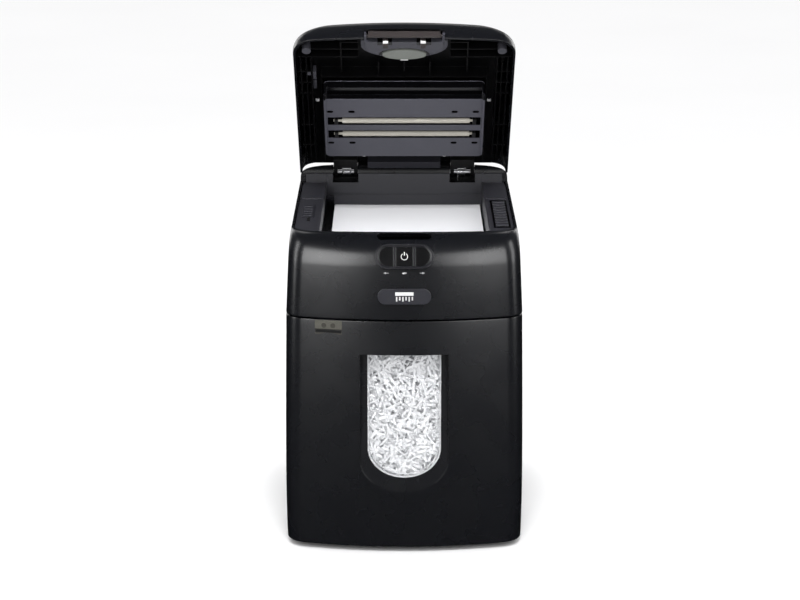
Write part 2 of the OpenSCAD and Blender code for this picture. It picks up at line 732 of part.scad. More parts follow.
motor_r = 26;
module motor() color([0.35, 0.36, 0.38]) {
    difference() {
        rod_x(-10, side_x, axis_motor[0], axis_motor[1], motor_r);
        rod_x(-8, side_x - 6, axis_motor[0], axis_motor[1], motor_r - 2);
        rod_x(-20, side_x + 1, axis_motor[0], axis_motor[1], 4.2);
    }
}
module motor_rotor() color([0.7, 0.45, 0.25]) {
    rod_x(-22, 121, axis_motor[0], axis_motor[1], 2.5);
    rod_x(10, 90, axis_motor[0], axis_motor[1], 18);
    rod_x(-5, 6, axis_motor[0], axis_motor[1], 8);
    gear(axis_motor, 120.2, 126.5, motor_pin, 0.8, phase_motor);
    // cooling fan outside the motor's end
    for (i = [0 : 6]) translate([-20, axis_motor[0], axis_motor[1]]) rotate([i * 360 / 7, 0, 0])
        block([0, -1, 0], [7, 1, 24]);
    rod_x(-21, -18, axis_motor[0], axis_motor[1], 10);
}

// ---- hinge --------------------------------------------------------------------------------

module hinge_pins() color([0.7, 0.7, 0.72]) {
    both_sides() rod_x(hinge_x1 - 3, hinge_x2 + 3, hinge_y, hinge_z, pin_r);
}

// Coils of the torsion springs, beside the arms.
spring_x = 78;
module hinge_springs() color([0.75, 0.75, 0.77]) {
    both_sides() for (i = [0 : 5])
        translate([spring_x + i * 2.1, hinge_y, hinge_z]) rotate([0, 90, 0])
            rotate_extrude() translate([4.6, 0]) circle(0.9, $fn = 16);
}

// ---- lid ----------------------------------------------------------------------------------

module lid_shell() color([0.1, 0.1, 0.11]) on_lid() {
    difference() {
        intersection() {
            cap(0);
            block([-half_w, -200, deck_z + lid_gap], [half_w, rear_y - 0.6, 500]);
        }
        intersection() {
            cap(wall, wall, 4);
            block([-half_w, -200, deck_z - 10], [half_w, rear_y + 1, 500]);
        }
        // recess for the lever in the front skirt
        block([-54, -160, deck_z - 1], [54, -140, deck_z + 15.5]);
    }
}

liner_z = deck_z + 18;        // underside of the liner's plate
liner_t = 2;
rib_t = 1.6;

// A rib that hangs from the liner's plate.
module rib_x(x1, x2, y, low = 3)
    block([x1, y - rib_t / 2, deck_z + low], [x2, y + rib_t / 2, liner_z + eps]);
module rib_y(x, y1, y2, low = 3)
    block([x - rib_t / 2, y1, deck_z + low], [x + rib_t / 2, y2, liner_z + eps]);

module lid_liner() color([0.05, 0.05, 0.055]) on_lid() {
    difference() {
        intersection() {
            cap(wall + 0.1, wall + 0.1, 4);
            liner_ribs();
        }
        for (x = [-88, 88], y = [-34, 66]) translate([x, y, deck_z - 1]) cylinder(h = 30, r = 3.2);
    }
}

// Plate, ribs and sleeves of the liner.
module liner_ribs() {
    translate([0, 0, liner_z]) linear_extrude(liner_t)
        polygon(plan(137, -143, 9, 26, rear_y - 1, 0.5, 1));
    both_sides() {
        // side cells
        for (x = [139.5, 132, 125.5]) rib_y(x, -106, 127);
        for (y = [-75, -52, -29, 41, 87]) rib_x(125.5, 143, y);
        // front cells
        rib_x(62, 124.4, -122);
        rib_x(62, 143, -106);
        rib_x(62, 86, -136);
        rib_y(85, -137, -74);
        rib_y(35, -95, -67);
        rib_y(112.6, -67, 127);
    }
    rib_y(0, -95, -76);
    rib_x(-112, 112, -67, 0);
    rib_x(-112, 112, 92);
    // closing wall behind the hinge line
    block([-66.7, 143, deck_z + 8], [66.7, 146, liner_z + eps]);
    // bar between the hinge arms
    block([-52, 129, deck_z + 4.5], [52, 143.5, liner_z + eps]);
    // sleeves for the pressure plate's posts
    for (x = [-88, 88], y = [-34, 66]) translate([x, y, deck_z + 6]) cylinder(h = 13, r = 5.5);
}

// Bumpers, screws and the switch finger that are fixed under the liner.
module lid_fittings() color([0.3, 0.3, 0.3]) on_lid() {
    both_sides() {
        translate([131, -119, deck_z + 2]) cylinder(h = 13, r = 6);
        translate([129, -117, deck_z + 14]) cylinder(h = liner_z - deck_z - 14, r = 3);
        translate([57.5, 128, liner_z]) mirror([0, 0, 1]) screw(2, 0);
    }
    for (x = [-120, 117.6]) translate([x, 3, liner_z]) mirror([0, 0, 1]) screw(1.6, 0);
    // finger over the lid switch and its bracket
    block([switch_x - 2.1, switch_y - 2, deck_z + 2.6], [switch_x + 2.1, switch_y + 4, liner_z]);
    block([-124, -71, deck_z + 6], [-119.4, -56, liner_z]);
    block([-124, -49, deck_z + 9], [-119.4, -32, liner_z]);
    rod_x(-124.2, -119.2, -52.5, deck_z + 12, 3);
}

// Arms from the lid to the hinge pins.
module hinge_arm() {
    difference() {
        union() {
            for (x = [hinge_x1 + 1, hinge_x2 - 6]) {
                rod_x(x, x + 5, hinge_y, hinge_z, 6.4);
                hull() {
                    rod_x(x, x + 5, hinge_y, hinge_z, 6);
                    block([x, 138, deck_z + 7], [x + 5, 146, liner_z]);
                }
            }
            block([hinge_x1 + 1, 128, deck_z + 7], [hinge_x2 - 1, 146, liner_z]);
        }
        rod_x(hinge_x1 - 5, hinge_x2 + 5, hinge_y, hinge_z, pin_r + 0.05);
    }
}
module lid_hinge_arms() color([0.06, 0.06, 0.06]) on_lid() both_sides() hinge_arm();

// Boat-shaped plate behind the front skirt that carries the lever.
latch_front = -133;
lever_y = -139;
lever_z = deck_z + 12;
lever_r = 2.4;
pad_y = -108;
module latch_base() color([0.27, 0.27, 0.3]) on_lid() {
    difference() {
        union() {
            for (step = [[0, 9], [6, 6]]) translate([0, 0, deck_z + step[1]])
                linear_extrude(liner_z - deck_z - step[1])
                    polygon(concat([[step[0] - 58, latch_front], [58 - step[0], latch_front]],
                        [for (a = [0 : 10 : 180])
                            [(58 - step[0]) * cos(a), -123 + (26 - step[0] * 0.7) * sin(a)]]));
            // lugs for the lever's shaft
            both_sides() block([50.6, -143, deck_z + 8], [53.6, latch_front + 1, liner_z]);
        }
        rod_x(-55, 55, lever_y, lever_z, lever_r + 0.05);
        // bed of the thumb pad
        translate([0, pad_y, deck_z + 3]) linear_extrude(6) scale([32.6, 12.2]) circle(1);
    }
}

module latch_thumb_pad() color([0.62, 0.63, 0.62]) on_lid() {
    translate([0, pad_y, deck_z + 4.6]) linear_extrude(4.3) scale([29.6, 9.8]) circle(1);
}

// Lever: shaft, grip that hangs in the skirt's recess, and two hooks.
module latch_lever() color([0.3, 0.28, 0.28]) on_lid() {
    rod_x(-53.4, 53.4, lever_y, lever_z, lever_r);
    block([-48, -146.4, lever_z - 1], [48, lever_y, lever_z + 2]);
    block([-48, -146.4, deck_z + 3.4], [48, -144.4, lever_z]);
    for (x = [-25, 25]) {
        block([x - 3.5, -140.4, deck_z - 9], [x + 3.5, -137.4, lever_z]);
        block([x - 3.5, -143.4, deck_z - 9], [x + 3.5, -140.3, deck_z - 6.4]);
    }
}

// Pressure plate: a tray with two troughs for the rollers.
plate_y1 = -63;
plate_y2 = 79;
plate_h = 20;
trough_y = [0, 29];
trough_half = 8.6;
post_r = 3;
module pressure_plate() color([0.33, 0.33, 0.36]) on_lid() {
    difference() {
        union() {
            translate([0, (plate_y1 + plate_y2) / 2, plate_z]) linear_extrude(plate_h)
                round_square(2 * plate_half, plate_y2 - plate_y1, 7);
            // side lips
            for (s = [-1, 1]) block([s * (plate_half - 1.3) - 1.3, plate_y1 + 4, plate_z - 2],
                                    [s * (plate_half - 1.3) + 1.3, plate_y2 - 8, plate_z + 1]);
            // guide posts
            for (x = [-88, 88], y = [-34, 66])
                translate([x, y, plate_z + 3]) cylinder(h = liner_z - plate_z - 1, r = post_r);
        }
        // hollow back, left open upwards, with beds for the troughs and posts
        difference() {
            translate([0, (plate_y1 + plate_y2) / 2, plate_z + 2.4]) linear_extrude(plate_h)
                round_square(2 * plate_half - 5, plate_y2 - plate_y1 - 5, 5);
            block([-plate_half, trough_y[0] - trough_half - 2, 0],
                  [plate_half, trough_y[1] + trough_half + 2, plate_z + 12.4]);
            for (x = [-88, 88], y = [-34, 66]) translate([x, y, 0]) cylinder(h = 600, r = post_r + 2);
            block([-plate_half, plate_y1, 0], [plate_half, -45.6, plate_z + 10.4]);
        }
        for (x = [-88, 88], y = [-34, 66]) translate([x, y, plate_z + plate_h - 7]) difference() {
            cylinder(h = 20, r = post_r + 6);
            translate([0, 0, -1]) cylinder(h = 40, r = post_r);
        }
        // troughs
        for (y = trough_y)
            block([-105, y - trough_half, plate_z - 3], [105, y + trough_half, plate_z + 10]);
        // step along the front edge
        block([-plate_half + 4, plate_y1 - 1, plate_z - 1], [plate_half - 4, -48, plate_z + 8]);
        // round holes
        for (x = [-101.5, -72, 69, 98], y = [-20.5, 48.5])
            translate([x, y, plate_z - 1]) linear_extrude(5) stadium(9, 5.4);
    }
}

// Coil springs round the posts, between the plate and the liner.
module plate_springs() color([0.75, 0.75, 0.77]) on_lid() {
    for (x = [-88, 88], y = [-34, 66]) for (i = [0 : 3])
        translate([x, y, deck_z - 2.9 + i * 2.6])
            rotate_extrude() translate([4.4, 0]) circle(0.7, $fn = 16);
}

roller_x1 = -85;
roller_x2 = 90;
press_r = 3.8;
press_z = plate_z + 1.6;
module press_roller(y) {
    rod_x(roller_x1, roller_x2, y, press_z, press_r);
    rod_x(roller_x1 - 12, roller_x2 + 9, y, press_z, 1.8);
}
module press_roller_upper() color([0.88, 0.86, 0.8]) on_lid() press_roller(trough_y[0]);
module press_roller_lower() color([0.88, 0.86, 0.8]) on_lid() press_roller(trough_y[1]);

// Bushes at both ends of the press rollers.
module roller_bushes() color([0.2, 0.2, 0.22]) on_lid() {
    for (y = trough_y) for (x = [roller_x1 - 11, roller_x2 + 4]) difference() {
        block([x, y - 5, press_z - 3.4], [x + 5, y + 5, plate_z + 10]);
        rod_x(x - 1, x + 6, y, press_z, 1.86);
    }
}

// ---- bin ----------------------------------------------------------------------------------

tub_half = 145;
tub_front = -160;
tub_back = 172;
tub_top = 302;
tub_z0 = cabinet_z0 + 9.4;
tub_wall = 2.2;

module tub_block(d, z1, z2) {
    translate([0, (tub_front + tub_back) / 2, z1]) linear_extrude(z2 - z1)
        round_square(2 * (tub_half - d), tub_back - tub_front - 2 * d, 12 - d);
}

module bin_tub() color([0.09, 0.09, 0.095]) {
    difference() {
        union() {
            tub_block(0, tub_z0, tub_top);
            // rolled rim
            translate([0, 0, tub_top - 8]) linear_extrude(8) difference() {
                translate([0, (tub_front + tub_back) / 2])
                    round_square(2 * tub_half + 5, tub_back - tub_front - 1, 13);
                translate([0, tub_front]) square([400, 60], center = true);
            }
        }
        tub_block(tub_wall, tub_z0 + tub_wall, tub_top + 1);
        // hole behind the window
        block([-window_w / 2 - 14, tub_front - 1, window_bottom - 28],
              [window_w / 2 + 14, tub_front + 8, window_top + 8]);
    }
}

// Surface of the bin front: the bow of the front with a slight barrel shape in height.
function bin_plan(z, d, open = 0) =
    let (barrel = 5 * pow((z - 170) / 160, 2))
    plan(body_half(z) - d, front_y + barrel + d, front_bow, 22 - d / 2,
         cabinet_front - rail_gap + open, 0.5, 2);

bin_z0 = foot_h + 1;
module bin_block(d, z1, z2, open = 0) {
    loft([for (i = [0 : 8]) let (z = lerp(z1, z2, i / 8)) [z, bin_plan(z, d, open)]]);
}

// Outline of the window and of the pocket round it: straight top, round bottom.
module arch_outline(w, top, bottom, round_h) {
    translate([-w / 2, bottom + round_h]) square([w, top - bottom - round_h]);
    translate([0, bottom + round_h]) scale([w / 2, round_h]) circle(1, $fn = 64);
}

// Frame of the pocket's slanting floor: X across, Y up the slope, Z out of the front.
slant = atan(pocket_depth / (window_top - 87));
module at_pocket(y) {
    translate([0, y, 87]) rotate([90 - slant, 0, 0]) translate([0, -87, 0]) children();
}
pocket_y = front_y + 1.2;     // the pocket floor at its lower end

// Label in a shallow seat at the top left, laid along the bow.
label_x = -100;
module at_label(sink) {
    y = front_y + 4.1 + front_bow * pow(label_x / half_w, 2);
    translate([label_x, y + sink, 314]) rotate([0, 0, -10]) rotate([90, 0, 0]) children();
}

module bin_front() color([0.1, 0.1, 0.11]) {
    difference() {
        union() {
            difference() {
                bin_block(0, bin_z0, seam_z - 1);
                bin_block(wall, bin_z0 + wall, seam_z - 1 - wall, 10);
            }
            // walls and floor of the pocket
            intersection() {
                bin_block(1, bin_z0 + 1, seam_z - 2);
                translate([0, tub_front - 0.6, 0]) rotate([90, 0, 0]) linear_extrude(60)
                    arch_outline(window_w + 24, window_top + 2.4, 84, 46);
                at_pocket(pocket_y) translate([0, 0, -2.4]) linear_extrude(80)
                    arch_outline(200, 320, 40, 20);
            }
            // bosses that carry the tub
            for (x = [-104, 104], z = [50, 296]) translate([x, tub_front, z]) rotate([90, 0, 0])
                cylinder(h = 11, r = 6);
        }
        // pocket in front of its floor
        intersection() {
            translate([0, -130, 0]) rotate([90, 0, 0]) linear_extrude(90)
                arch_outline(window_w + 19, window_top, 88, 44);
            at_pocket(pocket_y) linear_extrude(80) arch_outline(200, 320, 40, 20);
        }
        // window hole
        translate([0, -130, 0]) rotate([90, 0, 0]) linear_extrude(90)
            arch_outline(window_w - 1, window_top - 1, window_bottom, 41);
        // seat of the window behind the pocket floor
        intersection() {
            at_pocket(pocket_y) translate([0, 0, -4.7]) linear_extrude(2.25)
                arch_outline(window_w + 9, window_top + 4, window_bottom - 4.5, 44.5);
            block([-80, -190, 80], [80, tub_front + 2, window_top + 1.2]);
        }
        at_label(0.5) linear_extrude(10) square([36.4, 20.4], center = true);
    }
}

module bin_window() color([0.8, 0.85, 0.88, 0.35]) {
    intersection() {
        at_pocket(pocket_y) translate([0, 0, -4.5]) linear_extrude(2)
            arch_outline(window_w + 8, window_top + 3, window_bottom - 4, 44);
        block([-80, -184, 80], [80, tub_front + 1.6, window_top + 1]);
    }
}

module bin_label() color([0.36, 0.35, 0.3]) {
    at_label(0.5) linear_extrude(0.4) square([36, 20], center = true);
    at_label(0.5) translate([0, 0, 0.4 - eps]) linear_extrude(0.2) {
        translate([0, -6]) square([35, 6], center = true);
        for (x = [-6, 6]) translate([x, 4]) circle(3.4);
    }
}

// Heap of cut paper: a closed crust, since the loose strips are mostly air.
crust = 4;
heap_z = tub_z0 + 254;
module heap(d) {
    x = tub_half - tub_wall - 0.4 - d;
    y1 = tub_front + tub_wall + 0.4 + d;
    y2 = tub_back - tub_wall - 0.4 - d;
    translate([0, (y1 + y2) / 2, tub_z0 + tub_wall + 0.2 + d])
        linear_extrude(heap_z - tub_z0 - tub_wall - 0.2 - 2 * d) round_square(2 * x, y2 - y1, 9 - d);
}
module paper_shreds() color([0.85, 0.85, 0.84]) {
    difference() {
        union() {
            heap(0);
            translate([0, 0, heap_z - eps]) linear_extrude(6) scale([1, 0.95]) circle(122);
            translate([0, 0, heap_z + 5]) linear_extrude(6) scale([1, 0.95]) circle(84);
        }
        heap(crust);
    }
}

// Sheets waiting in the chamber, against its right wall.
module paper_stack() color([0.93, 0.94, 0.95]) {
    block([chamber_half - 212.5, -144, 395.4], [chamber_half - 2.5, 146.6, 403.2]);
}

// ---- assembly -----------------------------------------------------------------------------

cabinet_shell();
base_pan();
rubber_feet();
cabinet_screws();
head_shell();
top_deck();
rear_housing();
head_pan();
control_bezel();
button_reverse();
button_auto();
button_forward();
badge_plate();
guide_label();
vent_grille();
finger_cup();
control_board();
main_board();
side_plate_right();
side_plate_left();
shaft_bearings();
tie_rods();
gear_axles();
cutter_shaft_front();
cutter_shaft_rear();
stripper_combs();
feed_roller_front();
feed_roller_rear();
feed_idler_front();
feed_idler_rear();
motor();
motor_rotor();
reduction_gear_first();
reduction_gear_second();
mains_inlet();
power_rocker();
lid_switch();
lid_switch_plunger();
bin_switch();
bin_switch_plunger();
hinge_pins();
hinge_springs();
paper_stack();
lid_shell();
lid_liner();
lid_fittings();
lid_hinge_arms();
latch_base();
latch_lever();
latch_thumb_pad();
pressure_plate();
plate_springs();
press_roller_upper();
press_roller_lower();
roller_bushes();
bin_tub();
bin_front();
bin_window();
bin_label();
paper_shreds();
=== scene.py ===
import bpy
import json
import math
import numpy as np
from mathutils import Vector, Matrix


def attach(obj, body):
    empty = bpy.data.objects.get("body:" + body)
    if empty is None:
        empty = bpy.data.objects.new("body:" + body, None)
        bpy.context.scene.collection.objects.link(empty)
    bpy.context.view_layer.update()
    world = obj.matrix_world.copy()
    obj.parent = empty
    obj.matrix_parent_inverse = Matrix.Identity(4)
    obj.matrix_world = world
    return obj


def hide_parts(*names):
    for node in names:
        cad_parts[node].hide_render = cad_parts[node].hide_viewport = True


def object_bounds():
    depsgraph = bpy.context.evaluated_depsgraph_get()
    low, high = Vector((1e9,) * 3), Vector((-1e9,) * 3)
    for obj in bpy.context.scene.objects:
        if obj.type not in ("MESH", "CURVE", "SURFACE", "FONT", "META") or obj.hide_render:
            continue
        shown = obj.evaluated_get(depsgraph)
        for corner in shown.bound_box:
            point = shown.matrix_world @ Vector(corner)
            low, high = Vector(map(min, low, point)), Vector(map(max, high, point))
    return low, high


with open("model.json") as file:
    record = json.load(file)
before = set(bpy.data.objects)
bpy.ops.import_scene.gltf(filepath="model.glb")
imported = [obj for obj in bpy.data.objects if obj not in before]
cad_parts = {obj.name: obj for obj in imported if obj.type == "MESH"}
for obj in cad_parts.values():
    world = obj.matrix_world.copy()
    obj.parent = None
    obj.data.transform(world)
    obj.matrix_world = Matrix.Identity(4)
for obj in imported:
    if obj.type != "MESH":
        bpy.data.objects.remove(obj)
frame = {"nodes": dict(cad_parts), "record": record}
start_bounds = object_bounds()
nodes = frame["nodes"]

# ---- driving sizes, millimetres, as in the part's source -----------------------------------
MM = 0.001
SEAM_Z = 326                  # parting line between the bin front and the head
FRONT_Y, BACK_Y = -185.5, 185.5
HALF_W = 160
DECK_Z, DECK_HALF = 437, 149  # the deck that the lid's rim closes on
SHOULDER_Z = 398              # where the head's front starts to roll back
RIM_Y = -148
REAR_Y = 150                  # the lid ends here
HINGE_Y, HINGE_Z = 162, 449
LID_OPEN = 49.5
WALL = 3
WINDOW_W, WINDOW_TOP, WINDOW_BOTTOM = 99, 279, 107
POCKET_DEPTH, POCKET_LOW = 18, 87
POCKET_Y = FRONT_Y + 1.2
CABINET_FRONT = -136          # ahead of the CAD's -130, so no gap shows behind the bin front
PLATE_Z, PLATE_BAND = 414, -48  # pressure plate: its face, and where its front band, painted black as shade, ends
LABEL_Z = 313                 # the sticker's print is placed from here
PAD_Y = -108                  # oval thumb pad
BADGE_Z = 360
FRONT_BOW = 22                # how far the front's middle stands ahead of its sides
SWELL = 9                     # how far the heap of cuttings rises in the middle
HEAP_Z = 274                  # height of the heap of cuttings, without its swell
rng = np.random.default_rng(7)


# ---- camera --------------------------------------------------------------------------------
def add_camera():
    data = bpy.data.cameras.new("camera")
    data.sensor_width = 36.0
    data.lens = 99.0
    data.clip_end = 50.0
    camera = bpy.data.objects.new("camera", data)
    camera.location = (-0.0057, -2.9455, 1.147)
    camera.rotation_euler = (math.radians(90 - 16), 0, 0)
    bpy.context.scene.collection.objects.link(camera)
    bpy.context.scene.camera = camera


# ---- shader helpers ------------------------------------------------------------------------
class Shader:
    """A material with its Principled shader, and short calls for the nodes used here."""

    def __init__(self, name):
        self.material = bpy.data.materials.new(name)
        self.material.use_nodes = True
        self.tree = self.material.node_tree
        self.out = self.tree.nodes["Principled BSDF"]
        self.where = self.add("ShaderNodeTexCoord").outputs["Object"]

    def add(self, kind):
        return self.tree.nodes.new(kind)

    def link(self, source, target):
        self.tree.links.new(source, target)

    def stretched(self, scale):
        mapping = self.add("ShaderNodeMapping")
        mapping.inputs["Scale"].default_value = scale
        self.link(self.where, mapping.inputs["Vector"])
        return mapping.outputs["Vector"]

    def noise(self, scale, detail=2.0, rough=0.5, vector=None):
        n = self.add("ShaderNodeTexNoise")
        n.inputs["Scale"].default_value = scale
        n.inputs["Detail"].default_value = detail
        n.inputs["Roughness"].default_value = rough
        self.link(vector or self.where, n.inputs["Vector"])
        return n.outputs["Fac"]

    def remap(self, value, low, high, start=0.0, end=1.0):
        r = self.add("ShaderNodeMapRange")
        for key, v in (("From Min", start), ("From Max", end), ("To Min", low), ("To Max", high)):
            r.inputs[key].default_value = v
        self.link(value, r.inputs["Value"])
        return r.outputs["Result"]

    def mix(self, factor, a, b):
        """Colours a and b are three numbers or a socket."""
        m = self.add("ShaderNodeMix")
        m.data_type = "RGBA"
        self.link(factor, m.inputs["Factor"])
        for key, colour in (("A", a), ("B", b)):
            if isinstance(colour, (tuple, list)):
                m.inputs[key].default_value = (*colour, 1)
            else:
                self.link(colour, m.inputs[key])
        return m.outputs["Result"]

    def math(self, operation, a, b=0.0):
        m = self.add("ShaderNodeMath")
        m.operation = operation
        for i, v in enumerate((a, b)):
            if isinstance(v, (int, float)):
                m.inputs[i].default_value = v
            else:
                self.link(v, m.inputs[i])
        return m.outputs[0]

    def dot(self, direction):
        """Distance of the shaded point along a direction, in metres."""
        d = self.add("ShaderNodeVectorMath")
        d.operation = "DOT_PRODUCT"
        d.inputs[1].default_value = direction
        self.link(self.where, d.inputs[0])
        return d.outputs["Value"]

    def bump(self, height, strength, distance, normal=None):
        b = self.add("ShaderNodeBump")
        b.inputs["Strength"].default_value = strength
        b.inputs["Distance"].default_value = distance
        self.link(height, b.inputs["Height"])
        if normal is not None:
            self.link(normal, b.inputs["Normal"])
        return b.outputs["Normal"]

    def rounded(self, radius):
        """Normal with its edges rounded, and a mask that is 1 along the edges."""
        bevel = self.add("ShaderNodeBevel")
        bevel.samples = 4
        bevel.inputs["Radius"].default_value = radius
        geometry = self.add("ShaderNodeNewGeometry")
        d = self.add("ShaderNodeVectorMath")
        d.operation = "DOT_PRODUCT"
        self.link(bevel.outputs["Normal"], d.inputs[0])
        self.link(geometry.outputs["Normal"], d.inputs[1])
        return bevel.outputs["Normal"], self.remap(d.outputs["Value"], 1.0, 0.0, 0.75, 0.99)

    def set(self, **values):
        for key, v in values.items():
            self.out.inputs[key.replace("_", " ")].default_value = v


def plastic(name, colour, rough=0.42, gloss=0.16, grain=900.0, depth=0.3, wear_and_sheen=0.35, edge=0.0006,
            spread=0.14, paint=None, bare=0.012):
    """Moulded plastic: spark-eroded grain, faint flow variation, edges lighter, partly from real rubbing and
    partly painted highlight where edges catch the light.
    """
    s = Shader(name)
    normal, edge_band = s.rounded(edge)
    cloud = s.noise(9.0, 3.0)
    fine = s.noise(grain, 3.0, 0.65)
    base = s.mix(cloud, [c * (1 - spread) for c in colour], [c * (1 + spread) for c in colour])
    base = s.mix(s.remap(fine, 0.0, 0.5, 0.45, 0.75), base, [c * 1.35 for c in colour])
    duller = s.remap(s.noise(22.0, 3.0), rough - 0.018, rough + 0.018, 0.3, 0.7)
    if paint:
        base, dark = paint(s, base)
        if dark is not None:
            duller = s.math("MULTIPLY", duller, s.remap(dark, 1.0, 0.25))
    scuffs = s.remap(s.noise(60.0, 4.0, 0.7), 0.3, 1.0, 0.35, 0.65)
    # Lighter edges: real rubbing, and painted highlight where the edges catch the light.
    rubbed_and_lit = s.math("MULTIPLY", s.math("MULTIPLY", edge_band, scuffs), wear_and_sheen)
    s.link(s.mix(rubbed_and_lit, base, [min(1, c * 2.6 + bare) for c in colour]), s.out.inputs["Base Color"])
    s.link(duller, s.out.inputs["Roughness"])
    wavy = s.bump(s.noise(18.0, 1.0), 0.035, 0.0008, normal)
    s.link(s.bump(fine, depth, 0.00015, wavy), s.out.inputs["Normal"])
    s.set(Specular_IOR_Level=gloss)
    return s.material


def metal(name, colour, rough=0.25, stretch=(1, 1, 40), scale=220.0, depth=0.15):
    """Drawn or brushed metal, a little duller in patches."""
    s = Shader(name)
    normal, edge_band = s.rounded(0.0003)
    lines = s.noise(scale, 3.0, 0.5, s.stretched(stretch))
    dull = s.remap(s.noise(35.0, 3.0), 0.0, 0.6, 0.5, 0.75)
    base = s.mix(lines, [c * 0.82 for c in colour], colour)
    base = s.mix(dull, base, [c * 0.6 for c in colour])
    s.link(s.mix(edge_band, base, [min(1, c * 1.25) for c in colour]), s.out.inputs["Base Color"])
    s.link(s.remap(lines, rough - 0.05, rough + 0.12), s.out.inputs["Roughness"])
    s.link(s.bump(lines, depth, 0.0001, normal), s.out.inputs["Normal"])
    s.set(Metallic=1.0)
    return s.material


def paper(name, colour):
    """Uncoated paper: fibres, a slight tooth and soft unevenness."""
    s = Shader(name)
    fibres = s.noise(700.0, 5.0, 0.75, s.stretched((1, 2.2, 1)))
    cloud = s.noise(14.0, 2.0)
    base = s.mix(fibres, [c * 0.95 for c in colour], colour)
    s.link(s.mix(cloud, base, [c * 0.975 for c in colour]), s.out.inputs["Base Color"])
    s.link(s.bump(fibres, 0.25, 0.00006), s.out.inputs["Normal"])
    s.set(Roughness=0.8, Specular_IOR_Level=0.25)
    return s.material


def clear(name):
    """Clear styrene: see-through, with faint smears and hairline scratches."""
    s = Shader(name)
    smear = s.remap(s.noise(30.0, 4.0, 0.6), 0.0, 1.0, 0.45, 0.75)
    scratch = s.remap(s.noise(260.0, 2.0, 0.5, s.stretched((6, 1, 0.3))), 0.0, 1.0, 0.62, 0.7)
    haze = s.math("ADD", s.math("MULTIPLY", smear, 0.05), s.math("MULTIPLY", scratch, 0.08))
    s.link(s.math("ADD", haze, 0.05), s.out.inputs["Alpha"])
    s.link(s.mix(smear, (0.80, 0.83, 0.87), (0.92, 0.93, 0.95)), s.out.inputs["Base Color"])
    s.link(s.remap(smear, 0.06, 0.25), s.out.inputs["Roughness"])
    s.link(s.bump(scratch, 0.1, 0.0001), s.out.inputs["Normal"])
    return s.material


# ---- what is painted by place on a piece ---------------------------------------------------
# Black for painted shade in slots, holes, wells and hollows, and for the sticker's black print.
BLACK = (0.0016, 0.0016, 0.002)
TILT = math.radians(LID_OPEN)
LID_UP = (0, math.sin(TILT), math.cos(TILT))       # the closed lid's +Z, as the lid stands open
LID_BACK = (0, math.cos(TILT), -math.sin(TILT))    # the closed lid's +Y


def closed_place(direction, along):
    """Turns a closed-lid coordinate into the distance that Shader.dot() measures."""
    home = Vector((0, HINGE_Y, HINGE_Z)) * MM
    flat = HINGE_Z if direction is LID_UP else HINGE_Y
    return (along - flat) * MM + home.dot(Vector(direction))


def beyond(s, direction, along):
    """1 where the closed lid's coordinate along its up or back direction is over a value."""
    return s.math("GREATER_THAN", s.dot(direction), closed_place(direction, along))


def both(s, a, b):
    return s.math("MULTIPLY", a, b)


def neither(s, a):
    return s.math("SUBTRACT", 1.0, a)


def near(s, value, centre, reach):
    """1 where a value is within a reach of the centre."""
    return s.math("LESS_THAN", s.math("ABSOLUTE", s.math("SUBTRACT", value, centre)), reach)


def across(s):
    return s.dot((1, 0, 0))


def height(s):
    return s.dot((0, 0, 1))


def paint_shade(s, base, mask):
    """Painted shade: black and smooth where the mask is 1, so that no wide gloss lightens it."""
    return s.mix(mask, base, BLACK), mask


def plate_paint(s, base):
    """The pressure plate's front band and front wall are painted black as shade, as are its troughs and
    holes.
    """
    face = beyond(s, LID_BACK, PLATE_BAND - 0.3)
    inside = both(s, near(s, across(s), 0, 0.1055), beyond(s, LID_UP, PLATE_Z + 0.7))
    front = both(s, neither(s, face), neither(s, beyond(s, LID_UP, PLATE_Z + 18.8)))
    return paint_shade(s, base, s.math("MAXIMUM", front, both(s, face, inside)))


def liner_paint(s, base):
    """The bar between the hinge arms is painted grey, as painted light for its lit top."""
    bar = both(s, beyond(s, LID_BACK, 128.5), neither(s, beyond(s, LID_UP, 454)))
    return s.mix(both(s, near(s, across(s), 0, 0.0525), bar), base, (0.026, 0.026, 0.033)), None


def lever_paint(s, base):
    """The tips of the lever's two hooks are bare bright metal."""
    hook = both(s, beyond(s, LID_BACK, -143.8), neither(s, beyond(s, LID_UP, DECK_Z + 2)))
    return s.mix(both(s, hook, beyond(s, LID_UP, DECK_Z - 2.5)), base, (0.62, 0.62, 0.64)), None


def latch_paint(s, base):
    """Painted shade: a black ring round the oval pad, and black wells round the two hooks."""
    ring_half_w, ring_half_h, hook_x, well_half = 0.0345, 0.0118, 0.0262, 0.0098
    along = s.math("SUBTRACT", s.dot(LID_BACK), closed_place(LID_BACK, PAD_Y))
    x, y = s.math("DIVIDE", across(s), ring_half_w), s.math("DIVIDE", along, ring_half_h)
    ring = s.math("LESS_THAN", s.math("ADD", both(s, x, x), both(s, y, y)), 1.0)
    wide = near(s, s.math("ABSOLUTE", across(s)), hook_x, well_half)
    well = both(s, wide, both(s, beyond(s, LID_BACK, -146), neither(s, beyond(s, LID_BACK, -127))))
    return paint_shade(s, base, s.math("MAXIMUM", ring, well))


def fittings_paint(s, base):
    """Screw heads are bright; the bumpers and the bracket are grey."""
    middle = near(s, s.math("ABSOLUTE", s.math("ADD", across(s), 0.0012)), 0.1188, 0.0026)
    shaft = both(s, beyond(s, LID_BACK, 0.4), neither(s, beyond(s, LID_BACK, 5.6)))
    hinge_screw = beyond(s, LID_BACK, 100)
    return s.mix(s.math("MAXIMUM", both(s, middle, shaft), hinge_screw), base, (0.85, 0.85, 0.87)), None


